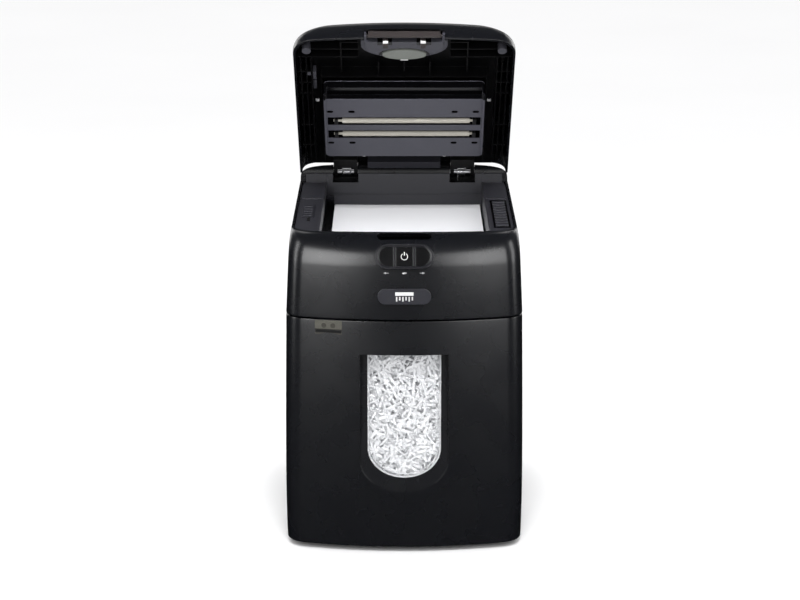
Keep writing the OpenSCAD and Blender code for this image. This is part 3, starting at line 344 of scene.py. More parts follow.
def slot_paint(s, base):
    """The finger slot in the head is painted black inside, as shade."""
    straight_half, middle_y, reach = 0.029, -0.158, 0.00675
    along = s.math("MAXIMUM", s.math("SUBTRACT", s.math("ABSOLUTE", across(s)), straight_half), 0.0)
    depth = s.math("SUBTRACT", s.dot((0, 1, 0)), middle_y)
    square = s.math("ADD", both(s, along, along), both(s, depth, depth))
    return paint_shade(s, base, s.math("LESS_THAN", square, reach ** 2))


def cup_paint(s, base):
    """Black all over, painted shade for the hollow under the finger slot."""
    return paint_shade(s, base, s.math("LESS_THAN", height(s), 1.0))


def deck_paint(s, base):
    """Painted shade: black chamber floor and front behind the finger slot; the left wall darkens downwards.
    """
    floor = s.math("LESS_THAN", height(s), 0.3945)
    inner = both(s, s.math("LESS_THAN", across(s), -0.1006), s.math("GREATER_THAN", across(s), -0.1145))
    deep_shade = both(s, inner, s.remap(height(s), 1.0, 0.0, 0.405, 0.432))
    ahead = both(s, near(s, across(s), 0, 0.042), s.math("LESS_THAN", s.dot((0, 1, 0)), -0.1452))
    behind_slot = both(s, ahead, s.math("LESS_THAN", height(s), 0.4338))
    return paint_shade(s, base, s.math("MAXIMUM", behind_slot, s.math("MAXIMUM", floor, deep_shade)))


def guide_paint(s, base):
    """Raised bars of the filling guide are a little lighter than its film."""
    raised = s.math("GREATER_THAN", height(s), (DECK_Z - 3 + 0.95) * MM)
    return s.mix(raised, base, (0.050, 0.050, 0.060)), None


def vent_paint(s, base):
    """Louvres in the deck's colour over slots painted black as shade."""
    return paint_shade(s, base, s.math("LESS_THAN", height(s), (DECK_Z - 3 + 0.85) * MM))


def disc(s, x, z, r):
    """1 inside a circle on the front, in millimetres."""
    dx, dz = s.math("SUBTRACT", across(s), x * MM), s.math("SUBTRACT", height(s), z * MM)
    square = s.math("ADD", both(s, dx, dx), both(s, dz, dz))
    return s.math("LESS_THAN", square, (r * MM) ** 2)


def label_paint(s, base):
    """Sticker: olive grey with two round marks above, dark with a black band below."""
    for x in (-106, -94):
        base = s.mix(disc(s, x, LABEL_Z + 4, 3.4), base, (0.035, 0.033, 0.026))
    base = s.mix(s.math("LESS_THAN", height(s), (LABEL_Z - 0.6) * MM), base, (0.034, 0.032, 0.028))
    return s.mix(near(s, height(s), (LABEL_Z - 3.4) * MM, 0.0022), base, BLACK), None


add_camera()

MATERIALS = {
    "shell_plastic": plastic("shell_plastic", (0.0047, 0.0051, 0.0068), 0.275, 0.40, depth=0.1),
    "dark_plastic": plastic("dark_plastic", (0.0022, 0.0022, 0.0026), 0.45, 0.25),
    "grey_plastic": plastic("grey_plastic", (0.028, 0.028, 0.034), 0.45, 0.3),
    "gloss_black": plastic("gloss_black", (0.003, 0.003, 0.0035), 0.2, 0.3, depth=0.03, wear_and_sheen=0.6,
                           edge=0.0009),
    "light_plastic": plastic("light_plastic", (0.17, 0.18, 0.165), 0.3, depth=0.08),
    "gear_plastic": plastic("gear_plastic", (0.7, 0.68, 0.6), 0.45, 0.4, spread=0.05),
    "red_plastic": plastic("red_plastic", (0.4, 0.025, 0.02), 0.25, 0.4, depth=0.05),
    "board": plastic("board", (0.02, 0.1, 0.045), 0.3, 0.4),
    "rubber": plastic("rubber", (0.01, 0.01, 0.01), 0.8, 0.2, grain=600.0, depth=0.6),
    "steel": metal("steel", (0.55, 0.55, 0.57), 0.28),
    "spring_steel": metal("spring_steel", (0.5, 0.5, 0.52), 0.24, depth=0.03),
    "zinc_steel": metal("zinc_steel", (0.42, 0.43, 0.45), 0.35),
    "bronze": metal("bronze", (0.5, 0.34, 0.16), 0.35),
    "paper": paper("paper", (0.80, 0.805, 0.83)),
    "ivory": plastic("ivory", (0.42, 0.40, 0.35), 0.3, 0.3, depth=0.08, spread=0.04),
    "window": clear("window_clear"),
}
SPECIAL = {
    "head_shell": plastic("head_plastic", (0.0047, 0.0051, 0.0068), 0.275, 0.40, depth=0.1,
                          paint=slot_paint),
    # Liner: near black, its rib edges strongly lightened as painted highlight where they catch the light.
    "lid_liner": plastic("liner_plastic", (0.0013, 0.0013, 0.0017), 0.42, 0.12, wear_and_sheen=1.6, edge=0.0003,
                         paint=liner_paint, bare=0.028),
    "top_deck": plastic("deck_plastic", (0.0225, 0.0225, 0.0290), 0.45, 0.3, paint=deck_paint),
    "vent_grille": plastic("vent_plastic", (0.030, 0.030, 0.038), 0.45, 0.3, paint=vent_paint),
    "guide_label": plastic("guide_film", (0.0150, 0.0150, 0.0200), 0.4, 0.3, paint=guide_paint),
    # The finger cup is black all over as painted shade.
    "finger_cup": plastic("cup_plastic", BLACK, 0.4, 0.1, wear_and_sheen=0.1, paint=cup_paint),
    "latch_base": plastic("latch_plastic", (0.048, 0.048, 0.060), 0.4, 0.35, paint=latch_paint),
    "latch_lever": plastic("lever_plastic", (0.030, 0.025, 0.025), 0.4, 0.3, paint=lever_paint),
    "lid_fittings": plastic("fittings_plastic", (0.055, 0.055, 0.066), 0.4, 0.3, paint=fittings_paint),
    "pressure_plate": plastic("plate_plastic", (0.066, 0.066, 0.083), 0.5, 0.3, paint=plate_paint),
    "bin_label": plastic("label_film", (0.072, 0.070, 0.057), 0.4, 0.2, paint=label_paint),
    "badge_plate": plastic("badge_plastic", (0.023, 0.023, 0.029), 0.32, 0.3, depth=0.1),
    # Bezel: its ring's edges lightened as painted highlight.
    "control_bezel": plastic("bezel_plastic", (0.0080, 0.0080, 0.0105), 0.24, 0.4, depth=0.05, wear_and_sheen=0.9,
                             edge=0.0008),
}
SLOT_OF = {part["node"]: part["material_slot"] for part in frame["record"]["subparts"]}
glyph_white = plastic("glyph_white", (0.62, 0.62, 0.62), 0.4, 0.3, depth=0.05, spread=0.03)
glyph_grey = plastic("glyph_grey", (0.34, 0.34, 0.35), 0.4, 0.3, depth=0.05, spread=0.03)


def material_of(name):
    return SPECIAL.get(name) or MATERIALS[SLOT_OF[name]]


# ---- carried-over CAD nodes ----------------------------------------------------------------
def shading_group():
    """Geometry nodes: smooth across shallow edges, sharp across steep ones."""
    group = bpy.data.node_groups.new("smooth_by_angle", "GeometryNodeTree")
    group.interface.new_socket("Geometry", in_out="INPUT", socket_type="NodeSocketGeometry")
    group.interface.new_socket("Geometry", in_out="OUTPUT", socket_type="NodeSocketGeometry")
    add, link = group.nodes.new, group.links.new
    start, end = add("NodeGroupInput"), add("NodeGroupOutput")
    plain = add("GeometryNodeRemoveAttribute")
    plain.inputs["Name"].default_value = "custom_normal"
    faces = add("GeometryNodeSetShadeSmooth")
    faces.domain = "FACE"
    edges = add("GeometryNodeSetShadeSmooth")
    edges.domain = "EDGE"
    angle = add("GeometryNodeInputMeshEdgeAngle")
    shallow = add("FunctionNodeCompare")
    shallow.operation = "LESS_THAN"
    shallow.inputs["B"].default_value = math.radians(32)
    link(start.outputs[0], plain.inputs["Geometry"])
    link(plain.outputs[0], faces.inputs["Geometry"])
    link(faces.outputs[0], edges.inputs["Geometry"])
    link(angle.outputs["Unsigned Angle"], shallow.inputs["A"])
    link(shallow.outputs[0], edges.inputs["Shade Smooth"])
    link(edges.outputs[0], end.inputs[0])
    return group


SMOOTH = shading_group()
BEVELLED = {"latch_base": 0.4, "latch_lever": 0.3, "badge_plate": 0.3,
            "control_bezel": 0.3, "button_reverse": 0.4, "button_auto": 0.4, "button_forward": 0.4,
            "latch_thumb_pad": 0.8, "lid_hinge_arms": 0.4, "vent_grille": 0.3,
            "guide_label": 0.2, "mains_inlet": 0.3, "base_pan": 0.5}


def even_normals(piece):
    """Large faces decide the shading, so flat areas stay flat beside bevels and cuts."""
    even = piece.modifiers.new("even_normals", "WEIGHTED_NORMAL")
    even.keep_sharp = True


def finish_node(name, piece):
    piece.data.materials.clear()
    piece.data.materials.append(material_of(name))
    weld = piece.modifiers.new("weld", "WELD")
    weld.merge_threshold = 0.00001
    if name in BEVELLED:
        bevel = piece.modifiers.new("bevel", "BEVEL")
        bevel.width = BEVELLED[name] * MM
        bevel.segments = 2
        bevel.limit_method = "ANGLE"
        bevel.angle_limit = math.radians(40)
        bevel.use_clamp_overlap = False
    piece.modifiers.new("smooth", "NODES").node_group = SMOOTH
    even_normals(piece)


for name, piece in nodes.items():
    finish_node(name, piece)


# ---- mesh helpers --------------------------------------------------------------------------
def mesh_object(name, points, faces):
    """Object from points in millimetres."""
    mesh = bpy.data.meshes.new(name)
    mesh.from_pydata([tuple(c * MM for c in p) for p in points], [], faces)
    mesh.update()
    piece = bpy.data.objects.new(name, mesh)
    bpy.context.scene.collection.objects.link(piece)
    return piece


def lerp(a, b, t):
    return a + (b - a) * t


def half_edge(hw, y0, bow, r, s, n=20, m=12):
    """Half of a bowed edge with a round corner, from the middle of the edge to the side."""
    xa, k = hw - r, bow / hw ** 2
    ya, slope = y0 - s * k * xa * xa, -s * 2 * k * xa
    corner, side, start = (hw, ya + slope * r), (hw, ya + slope * r - s * r), (xa, ya)
    points = [(xa * i / n, y0 - s * k * (xa * i / n) ** 2) for i in range(n)]
    for i in range(m + 1):
        t = i / m
        weights = ((1 - t) ** 3, 3 * (1 - t) ** 2 * t, 3 * (1 - t) * t * t, t ** 3)
        stops = (start, [lerp(start[j], corner[j], 0.56) for j in (0, 1)],
                 [lerp(side[j], corner[j], 0.56) for j in (0, 1)], side)
        points.append(tuple(sum(w * p[j] for w, p in zip(weights, stops)) for j in (0, 1)))
    return points


def plan(hw, yf, bow_f, r_f, yb, bow_b, r_b):
    """Closed plan outline: bowed front, straight sides, slightly bowed rear."""
    front, back = half_edge(hw, yf, bow_f, r_f, -1), half_edge(hw, yb, bow_b, r_b, 1)
    return (front + back[::-1] + [(-x, y) for x, y in back[1:]]
            + [(-x, y) for x, y in front[:0:-1]])


def loft(name, levels):
    """Solid through a stack of (height, outline) with equal point counts."""
    n = len(levels[0][1])
    points = [(x, y, z) for z, outline in levels for x, y in outline]
    faces = [(j * n + i, j * n + (i + 1) % n, (j + 1) * n + (i + 1) % n, (j + 1) * n + i)
             for j in range(len(levels) - 1) for i in range(n)]
    faces += [tuple(reversed(range(n))), tuple(range((len(levels) - 1) * n, len(levels) * n))]
    return mesh_object(name, points, faces)


def prism(name, outline, low, high, turn=Matrix.Identity(4)):
    """Outline in the XY plane of a frame, extruded along that frame's +Z. turn is in millimetres."""
    n = len(outline)
    points = [turn @ Vector((x, y, z)) for z in (low, high) for x, y in outline]
    faces = [(i, (i + 1) % n, n + (i + 1) % n, n + i) for i in range(n)]
    faces += [tuple(reversed(range(n))), tuple(range(n, 2 * n))]
    return mesh_object(name, points, faces)


def block(low, high):
    (x0, y0, z0), (x1, y1, z1) = low, high
    return prism("block", [(x0, y0), (x1, y0), (x1, y1), (x0, y1)], z0, z1)


def rod_x(x1, x2, y, z, r, sides=64):
    ring = [(r * math.cos(a), r * math.sin(a)) for a in np.arange(sides) * 2 * math.pi / sides]
    turn = Matrix.Translation((0, y, z)) @ Matrix.Rotation(math.pi / 2, 4, "Y")
    return prism("rod", ring, x1, x2, turn)


def stadium(w, h, steps=20):
    arc = [math.pi * i / steps - math.pi / 2 for i in range(steps + 1)]
    right = [((w - h) / 2 + h / 2 * math.cos(a), h / 2 * math.sin(a)) for a in arc]
    return right + [(-x, -y) for x, y in right]


def arch(w, top, bottom, round_h, steps=48):
    """Straight top, round bottom."""
    arc = [math.pi * (1 + i / steps) for i in range(steps + 1)]
    return [(w / 2, top), (-w / 2, top)] + [(w / 2 * math.cos(a), bottom + round_h * (1 + math.sin(a)))
                                           for a in arc]


def combine(piece, operation, *others):
    """Boolean of piece with the others, which are used up."""
    for other in others:
        step = piece.modifiers.new("boolean", "BOOLEAN")
        step.operation = operation
        step.solver = "EXACT"
        step.object = other
        graph = bpy.context.evaluated_depsgraph_get()
        mesh = bpy.data.meshes.new_from_object(piece.evaluated_get(graph))
        piece.modifiers.clear()
        piece.data = mesh
        bpy.data.objects.remove(other)
    return piece


def dress(piece, material, body, slot_name, *replaced, angle=32):
    """Gives a new piece its shading, material and body; slot_name is not used."""
    piece.data.materials.clear()
    piece.data.materials.append(material)
    piece.data.polygons.foreach_set("use_smooth", [True] * len(piece.data.polygons))
    piece.data.set_sharp_from_angle(angle=math.radians(angle))
    if angle < 180:
        even_normals(piece)
    if body:
        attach(piece, body)
    if replaced:
        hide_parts(*replaced)
    return piece


UPRIGHT = Matrix.Rotation(math.pi / 2, 4, "X")     # a frame whose +Z looks out of the front
OPEN_LID = (Matrix.Translation((0, HINGE_Y, HINGE_Z)) @ Matrix.Rotation(-TILT, 4, "X")
            @ Matrix.Translation((0, -HINGE_Y, -HINGE_Z)))
SLANT = math.atan(POCKET_DEPTH / (WINDOW_TOP - POCKET_LOW))
AT_POCKET = (Matrix.Translation((0, POCKET_Y, POCKET_LOW)) @ Matrix.Rotation(math.pi / 2 - SLANT, 4, "X")
             @ Matrix.Translation((0, -POCKET_LOW, 0)))
AT_CONTROLS = Matrix.Translation((0, -176.6, 411.5)) @ Matrix.Rotation(math.radians(70), 4, "X")


def round_levels(z0, z1, r, inner):
    """Heights with an inset that rounds the lower and upper edge by r."""
    turn = [math.pi / 2 * i / 4 for i in range(5)]
    low = [(z0 + r * (1 - math.cos(a)), r * (1 - math.sin(a))) for a in turn]
    high = [(z1 - r * (1 - math.cos(a)), r * (1 - math.sin(a))) for a in reversed(turn)]
    middle = [(lerp(z0 + r, z1 - r, i / inner), 0) for i in range(1, inner)]
    return low + middle + high


def open_with_lid(piece):
    """Turns a piece that was built on the closed lid to the open lid's place."""
    piece.data.transform(Matrix.Scale(1000, 4))
    piece.data.transform(Matrix.Scale(MM, 4) @ OPEN_LID)


# ---- head ----------------------------------------------------------------------------------
def shoulder(z):
    if z < SHOULDER_Z:
        return 0
    return 1 - math.sqrt(max(0, 1 - ((z - SHOULDER_Z) / (DECK_Z - SHOULDER_Z)) ** 2))


def head_plan(z, d):
    s, t = shoulder(z), (z - SEAM_Z) / (DECK_Z - SEAM_Z)
    hw = lerp(HALF_W - 3.2, DECK_HALF + 2.4, t) - 2.4 * s
    yf = FRONT_Y + 1.5 + 4 * t * t + (RIM_Y - FRONT_Y - 5.5) * s
    return plan(hw - d, yf + d, lerp(FRONT_BOW, 9, s), lerp(20, 30, s) - d, BACK_Y - d, 6, 26 - d)


def head_solid(d, start, edge):
    """The head from its lower edge to the deck, inset by d, its lower edge rounded by edge."""
    z0, rise = SEAM_Z + 1.2, DECK_Z - SHOULDER_Z
    turn = [math.pi / 2 * i / 4 for i in range(5)] if edge else [math.pi / 2]
    levels = [(z0 + start + edge * (1 - math.cos(a)), head_plan(z0, d + edge * (1 - math.sin(a))))
              for a in turn]
    levels += [(z, head_plan(z, d)) for z in np.linspace(z0 + 8, SHOULDER_Z, 9)]
    for a in np.radians(np.arange(5, 91, 5)):
        up = math.sin(a)
        levels.append((SHOULDER_Z + (rise - d) * up, head_plan(SHOULDER_Z + rise * up, d)))
    return loft("head_solid", levels)


def build_head():
    """Head shell, open for the deck, the finger slot, the controls, the badge and the mains inlet."""
    head = head_solid(0, 0, 1.4)
    badge_frame = Matrix.Translation((0, FRONT_Y + 1.9, BADGE_Z)) @ UPRIGHT
    deck = plan(DECK_HALF - 2.6, RIM_Y + 3, 8, 26, REAR_Y - 0.2, 0.5, 1)
    combine(head, "DIFFERENCE", head_solid(WALL, -2, 0), prism("cut", deck, DECK_Z - 4, DECK_Z + 1),
            block((-DECK_HALF + 2.6, REAR_Y - 1, DECK_Z - 4), (DECK_HALF - 2.6, 180, DECK_Z + 1)),
            prism("cut", stadium(71, 13), DECK_Z - 16, DECK_Z + 4, Matrix.Translation((0, -158, 0))),
            prism("cut", stadium(77.4, 34.4), -12, 18, AT_CONTROLS),
            prism("cut", stadium(70.4, 21.4), 0, 10, badge_frame),
            block((86, BACK_Y - 8, 341), (118, BACK_Y + 1, 365)),
            block((52.8, BACK_Y - 8, 342.6), (73.2, BACK_Y + 1, 363.4)))
    head.name = "head_moulding"
    return dress(head, SPECIAL["head_shell"], "frame", "shell_plastic", "head_shell")


# ---- lid and rear housing ------------------------------------------------------------------
# Height, half width, front y, front bow, front radius, rear y, rear bow, rear radius
CAP_LEVELS = [
    [DECK_Z, 149, -150, 9, 26, 185.5, 5, 30], [DECK_Z + 11, 148.5, -149.8, 9, 26, 181.8, 5, 30],
    [DECK_Z + 19, 145.6, -149.2, 9, 28, 172, 6, 33], [DECK_Z + 24, 140.5, -148.4, 9, 31, 157.8, 7, 37],
    [DECK_Z + 28, 133, -146.8, 9, 34, 152.4, 8, 40], [DECK_Z + 30.5, 124, -144, 9, 38, 150.6, 9, 42],
    [DECK_Z + 33, 110, -136, 9, 45, 145, 11, 45], [DECK_Z + 36, 93, -121, 10, 50, 134, 12, 50],
    [DECK_Z + 39.5, 75, -100, 10, 53, 116, 12, 53], [DECK_Z + 43.5, 55, -72, 8, 45, 90, 8, 45],
    [DECK_Z + 47, 36, -44, 5, 32, 62, 5, 32], [DECK_Z + 49.5, 16, -18, 2, 14, 30, 2, 14]]


def cap_solid(d, drop=0, low=0, edge=0.0):
    """The lid and the housing behind it in one smooth cap, from levels joined by curves."""
    rows = np.array(CAP_LEVELS, float)
    fine = []
    for i in range(len(rows) - 1):
        before, a, b, after = rows[max(i - 1, 0)], rows[i], rows[i + 1], rows[min(i + 2, len(rows) - 1)]
        for t in (0, 0.25, 0.5, 0.75):
            curve = 0.5 * (2 * a + (b - before) * t + (2 * before - 5 * a + 4 * b - after) * t * t
                           + (3 * a - before - 3 * b + after) * t ** 3)
            fine.append(lerp(lerp(a, b, t), curve, 0.8))
    fine.append(rows[-1])
    levels = []
    if low:
        levels.append((DECK_Z - low, 0, fine[0]))
    levels += [(row[0] - drop, 0, row) for row in fine]
    if edge:
        levels = ([(DECK_Z + 0.6 + edge * (1 - math.cos(a)), edge * (1 - math.sin(a)), fine[0])
                   for a in [math.pi / 2 * i / 4 for i in range(5)]]
                  + [level for level in levels if level[0] > DECK_Z + 0.6 + edge])
    return loft("cap_solid", [(z, plan(r[1] - d - e, r[2] + d + e, r[3], r[4] - d / 2, r[5] - d, r[6],
                                       r[7] - d / 2)) for z, e, r in levels])


def build_lid():
    lid = cap_solid(0, edge=1.0)
    combine(lid, "INTERSECT", block((-HALF_W, -200, DECK_Z), (HALF_W, REAR_Y - 0.6, 500)))
    inner = combine(cap_solid(WALL, WALL, 4), "INTERSECT",
                    block((-HALF_W, -200, DECK_Z - 10), (HALF_W, REAR_Y + 1, 500)))
    combine(lid, "DIFFERENCE", inner, block((-54, -160, DECK_Z - 1), (54, -140, DECK_Z + 15.5)))
    open_with_lid(lid)
    lid.name = "lid_moulding"
    return dress(lid, MATERIALS["shell_plastic"], "lid", "shell_plastic", "lid_shell")


def housing_prism(d, low):
    """Side view of everything behind the lid, with the round nose about the hinge axis."""
    r = 12.2 - d
    nose = [(HINGE_Y - r * math.cos(a), HINGE_Z + r * math.sin(a)) for a in np.linspace(0, math.pi / 2, 16)]
    side = [(REAR_Y + d, low)] + nose + [(HINGE_Y, 500), (BACK_Y + 1, 500), (BACK_Y + 1, low)]
    turn = Matrix(((0, 0, 1, 0), (1, 0, 0, 0), (0, 1, 0, 0), (0, 0, 0, 1)))
    return prism("housing_prism", side, -HALF_W, HALF_W, turn)


def build_rear_housing():
    housing = combine(cap_solid(0), "INTERSECT", housing_prism(0, DECK_Z))
    inner = combine(cap_solid(WALL, WALL, 4), "INTERSECT", housing_prism(WALL, DECK_Z - 10))
    combine(housing, "DIFFERENCE", inner)
    for side in (-1, 1):
        for x in (63, 102):
            x1, x2 = sorted((side * x, side * (x + 3)))
            combine(housing, "UNION", rod_x(x1, x2, HINGE_Y, HINGE_Z, 10),
                    block((x1, HINGE_Y - 10, DECK_Z), (x2, HINGE_Y + 10, HINGE_Z)))
        x1, x2 = sorted((side * 66, side * 102))
        combine(housing, "DIFFERENCE", block((x1, REAR_Y - 1, DECK_Z - 1), (x2, 173, 500)),
                rod_x(x1 - 4, x2 + 4, HINGE_Y, HINGE_Z, 3))
    housing.name = "rear_housing_moulding"
    return dress(housing, MATERIALS["shell_plastic"], "frame", "shell_plastic", "rear_housing")


# ---- cabinet and bin -----------------------------------------------------------------------
def body_half(z):
    return HALF_W - 3.2 * (max(0, z - 90) / 236) ** 1.4 - 1.2 * (max(0, 70 - z) / 64) ** 2


def cabinet_plan(z, d):
    return plan(body_half(z) - d, CABINET_FRONT + d, 0.5, 2, BACK_Y - d, 6, 26 - d)


def build_cabinet():
    cabinet = loft("cabinet_moulding", [(z, cabinet_plan(z, d)) for z, d in round_levels(10, 325, 1.4, 12)])
    inner = loft("inner", [(z, plan(body_half(z) - WALL, CABINET_FRONT - 9, 0.5, 2, BACK_Y - WALL, 6,
                                    26 - WALL)) for z in np.linspace(5, 327, 8)])
    combine(cabinet, "DIFFERENCE", inner,
            block((-HALF_W - 1, CABINET_FRONT - 2, 0), (HALF_W + 1, CABINET_FRONT + 0.6, SEAM_Z)))
    return dress(cabinet, MATERIALS["shell_plastic"], "frame", "shell_plastic", "cabinet_shell")


def bin_plan(z, d, opened=0):
    barrel = 5 * ((z - 170) / 160) ** 2
    return plan(body_half(z) - d, FRONT_Y + barrel + d, FRONT_BOW, 22 - d / 2, CABINET_FRONT - 1 + opened,
                0.5, 2)


def build_bin_front():
    z0, z1 = 7, SEAM_Z - 1
    front = loft("bin_front_moulding", [(z, bin_plan(z, d)) for z, d in round_levels(z0, z1, 1.4, 40)])
    inner = loft("inner", [(z, bin_plan(z, WALL, 10)) for z in np.linspace(z0 + WALL, z1 - WALL, 24)])
    combine(front, "DIFFERENCE", inner)
    lining = loft("lining", [(z, bin_plan(z, 1)) for z in np.linspace(z0 + 1, z1 - 1, 24)])
    combine(lining, "INTERSECT",
            prism("cut", arch(WINDOW_W + 24, WINDOW_TOP + 2.4, 84, 46), 160.6, 220.6, UPRIGHT),
            prism("cut", arch(200, 320, 40, 20), -2.4, 80, AT_POCKET))
    combine(front, "UNION", lining)
    pocket = combine(prism("cut", arch(WINDOW_W + 19, WINDOW_TOP, 88, 44), 130, 220, UPRIGHT), "INTERSECT",
                     prism("cut", arch(200, 320, 40, 20), 0, 80, AT_POCKET))
    seat = combine(prism("cut", arch(WINDOW_W + 9, WINDOW_TOP + 4, WINDOW_BOTTOM - 4.5, 44.5), -4.7, -2.45,
                         AT_POCKET), "INTERSECT", block((-80, -190, 80), (80, -158, WINDOW_TOP + 1.2)))
    combine(front, "DIFFERENCE", pocket, seat,
            prism("cut", arch(WINDOW_W - 1, WINDOW_TOP - 1, WINDOW_BOTTOM, 41), 130, 220, UPRIGHT))
    return dress(front, MATERIALS["shell_plastic"], "bin", "shell_plastic", "bin_front")


def ring_strip(name, outer, inner, low, high, turn):
    """Flat ring between two outlines with equal point counts."""
    n = len(outer)
    points = [turn @ Vector((x, y, z)) for outline in (outer, inner) for z in (low, high) for x, y in outline]
    faces = []
    for i in range(n):
        j = (i + 1) % n
        faces += [(i, j, n + j, n + i), (2 * n + j, 2 * n + i, 3 * n + i, 3 * n + j),
                  (n + i, n + j, 3 * n + j, 3 * n + i), (j, i, 2 * n + i, 2 * n + j)]
    return mesh_object(name, points, faces)


def build_window_rim():
    """Rim and ledge of the clear window, seen inside the window hole, in a light colour: a painted highlight
    for the pane's lit edge.
    """
    rim = ring_strip("window_rim", arch(WINDOW_W - 1.4, WINDOW_TOP - 1.3, WINDOW_BOTTOM + 0.3, 40.8),
                     arch(WINDOW_W - 5, WINDOW_TOP - 2.4, WINDOW_BOTTOM + 2.2, 39.5), -2.4, -1.2, AT_POCKET)
    ledge = ring_strip("window_ledge", arch(WINDOW_W - 7, WINDOW_TOP - 3.4, WINDOW_BOTTOM + 5.2, 38.5),
                       arch(WINDOW_W - 8, WINDOW_TOP - 4, WINDOW_BOTTOM + 6.2, 38), -2.45, -2.0, AT_POCKET)
    pane_edge_highlight = plastic("pane_edge_highlight", (0.55, 0.56, 0.58), 0.25, 0.5, depth=0.05, spread=0.05)
    dress(rim, pane_edge_highlight, "bin", "window")
    dress(ledge, pane_edge_highlight, "bin", "window")


# ---- paper ---------------------------------------------------------------------------------
def build_sheets():
    """Loose A4 sheets, a little out of line with each other, the top ones lifting at a corner."""
    x0, x1, y0, y1, z0, z1 = -100.0, 109.5, -144.0, 146.6, 395.4, 403.2
    count, nx, ny = 26, 14, 18
    points, faces = [], []
    thick = (z1 - z0) / count
    for k in range(count):
        shift = rng.uniform(-0.5, 0.5, 2)
        turn = rng.normal(0, 0.0012)
        top = max(0, k - count + 6) / 5
        for side in (0, 1):
            for j in range(ny + 1):
                for i in range(nx + 1):
                    u, v = i / nx, j / ny
                    x, y = lerp(x0 + 0.6, x1 - 0.6, u), lerp(y0 + 0.6, y1 - 0.6, v)
                    x, y = x + shift[0] - turn * y, y + shift[1] * 0.9 + turn * x
                    wave = 0.25 * top * math.sin(5 * u + 2 + 3 * v) + 0.8 * top * (u * v) ** 3
                    wave += 1.1 * top * ((1 - u) * v) ** 4
                    z = z0 + thick * (k + side * 0.82) + wave
                    points.append((min(max(x, x0), x1), min(max(y, y0), y1), z))
        base, size = k * 2 * (nx + 1) * (ny + 1), (nx + 1) * (ny + 1)
        for j in range(ny):
            for i in range(nx):
                a = base + j * (nx + 1) + i
                faces += [(a, a + nx + 1, a + nx + 2, a + 1), (a + size, a + size + 1,
                          a + size + nx + 2, a + size + nx + 1)]
        rim = ([base + i for i in range(nx + 1)] + [base + j * (nx + 1) + nx for j in range(1, ny + 1)]
               + [base + ny * (nx + 1) + i for i in range(nx - 1, -1, -1)]
               + [base + j * (nx + 1) for j in range(ny - 1, 0, -1)])
        faces += [(rim[i], rim[(i + 1) % len(rim)], rim[(i + 1) % len(rim)] + size, rim[i] + size)
                  for i in range(len(rim))]
    dress(mesh_object("paper_sheets", points, faces), MATERIALS["paper"], "frame", "paper", "paper_stack")


def strips(count, place, flat, length=(9, 30), width=(2.0, 3.6)):
    """Curled cuttings. place gives centres (count, 3); flat is how flat they lie, from 0 to 1."""
    steps = 7
    size = rng.uniform(*length, count)[:, None]
    t = np.linspace(-0.5, 0.5, steps)[None, :]
    bend = rng.normal(0, 0.055, count)[:, None] + 1e-4
    twist = rng.normal(0, 0.9, count)[:, None] * t
    half = rng.uniform(*width, count)[:, None] / 2
    x = np.sin(bend * t * size) / bend
    z = (1 - np.cos(bend * t * size)) / bend
    middle = np.stack([x, np.zeros_like(x), z], -1)
    sideways = np.stack([np.zeros_like(x), np.cos(twist), np.sin(twist)], -1) * half[..., None]
    spin = rng.uniform(0, 2 * math.pi, count)
    lean = rng.normal(0, 1, count) * (1 - flat) * 1.2
    roll = rng.normal(0, 1, count) * (1 - flat) * 1.2
    turned = []
    for v in (middle - sideways, middle + sideways):
        vx, vy, vz = v[..., 0], v[..., 1], v[..., 2]
        c, s = np.cos(roll)[:, None], np.sin(roll)[:, None]
        vy, vz = c * vy - s * vz, s * vy + c * vz
        c, s = np.cos(lean)[:, None], np.sin(lean)[:, None]
        vx, vz = c * vx + s * vz, -s * vx + c * vz
        c, s = np.cos(spin)[:, None], np.sin(spin)[:, None]
        vx, vy = c * vx - s * vy, s * vx + c * vy
        turned.append(np.stack([vx, vy, vz], -1) + place[:, None, :])
    return np.stack(turned, 2)                     # (count, steps, 2, 3)


def strip_mesh(name, points):
    count, steps = points.shape[:2]
    faces = []
    for k in range(count):
        for i in range(steps - 1):
            a = (k * steps + i) * 2
            faces.append((a, a + 1, a + 3, a + 2))
    return mesh_object(name, points.reshape(-1, 3).tolist(), faces)


def bumpy(name, nx, ny, place, rough):
    """Uneven surface of packed cuttings over a grid; place turns (u, v, h) into a point."""
    bumps = rng.uniform(-1, 1, (ny + 1, nx + 1)) * rough
    points = [place(i / nx, j / ny, bumps[j][i]) for j in range(ny + 1) for i in range(nx + 1)]
    faces = [(j * (nx + 1) + i, j * (nx + 1) + i + 1, (j + 1) * (nx + 1) + i + 1, (j + 1) * (nx + 1) + i)
             for j in range(ny) for i in range(nx)]
    return mesh_object(name, points, faces)


def build_window_cuttings(cuttings, deep_shade):
    """Cuttings flattened against the window pane, over a darker packed surface that paints the shade in the
    gaps.
    """
    count = 1500
    u, v = rng.uniform(-54, 54, count), rng.uniform(101, 282, count)
    depth = -5.6 - 13 * rng.uniform(0, 1, count) ** 1.3
    local = strips(count, np.stack([u, v, depth], -1), 0.62)
    local[..., 2] = np.minimum(local[..., 2], -5.0)
    turn = np.array(AT_POCKET)
    world = local @ turn[:3, :3].T + turn[:3, 3]
    world[..., 0] = np.clip(world[..., 0], -62, 62)
    world[..., 1] = np.clip(world[..., 1], -181, -140)
    world[..., 2] = np.clip(world[..., 2], 97, 284)
    dress(strip_mesh("cuttings_behind_window", world), cuttings, "bin", "paper", angle=180)
    back = bumpy("packed_behind_window", 44, 70,
                 lambda a, b, h: AT_POCKET @ Vector((lerp(-57, 57, a), lerp(98, 284, b), -21 + h)), 2.5)
    dress(back, deep_shade, "bin", "paper", angle=180)


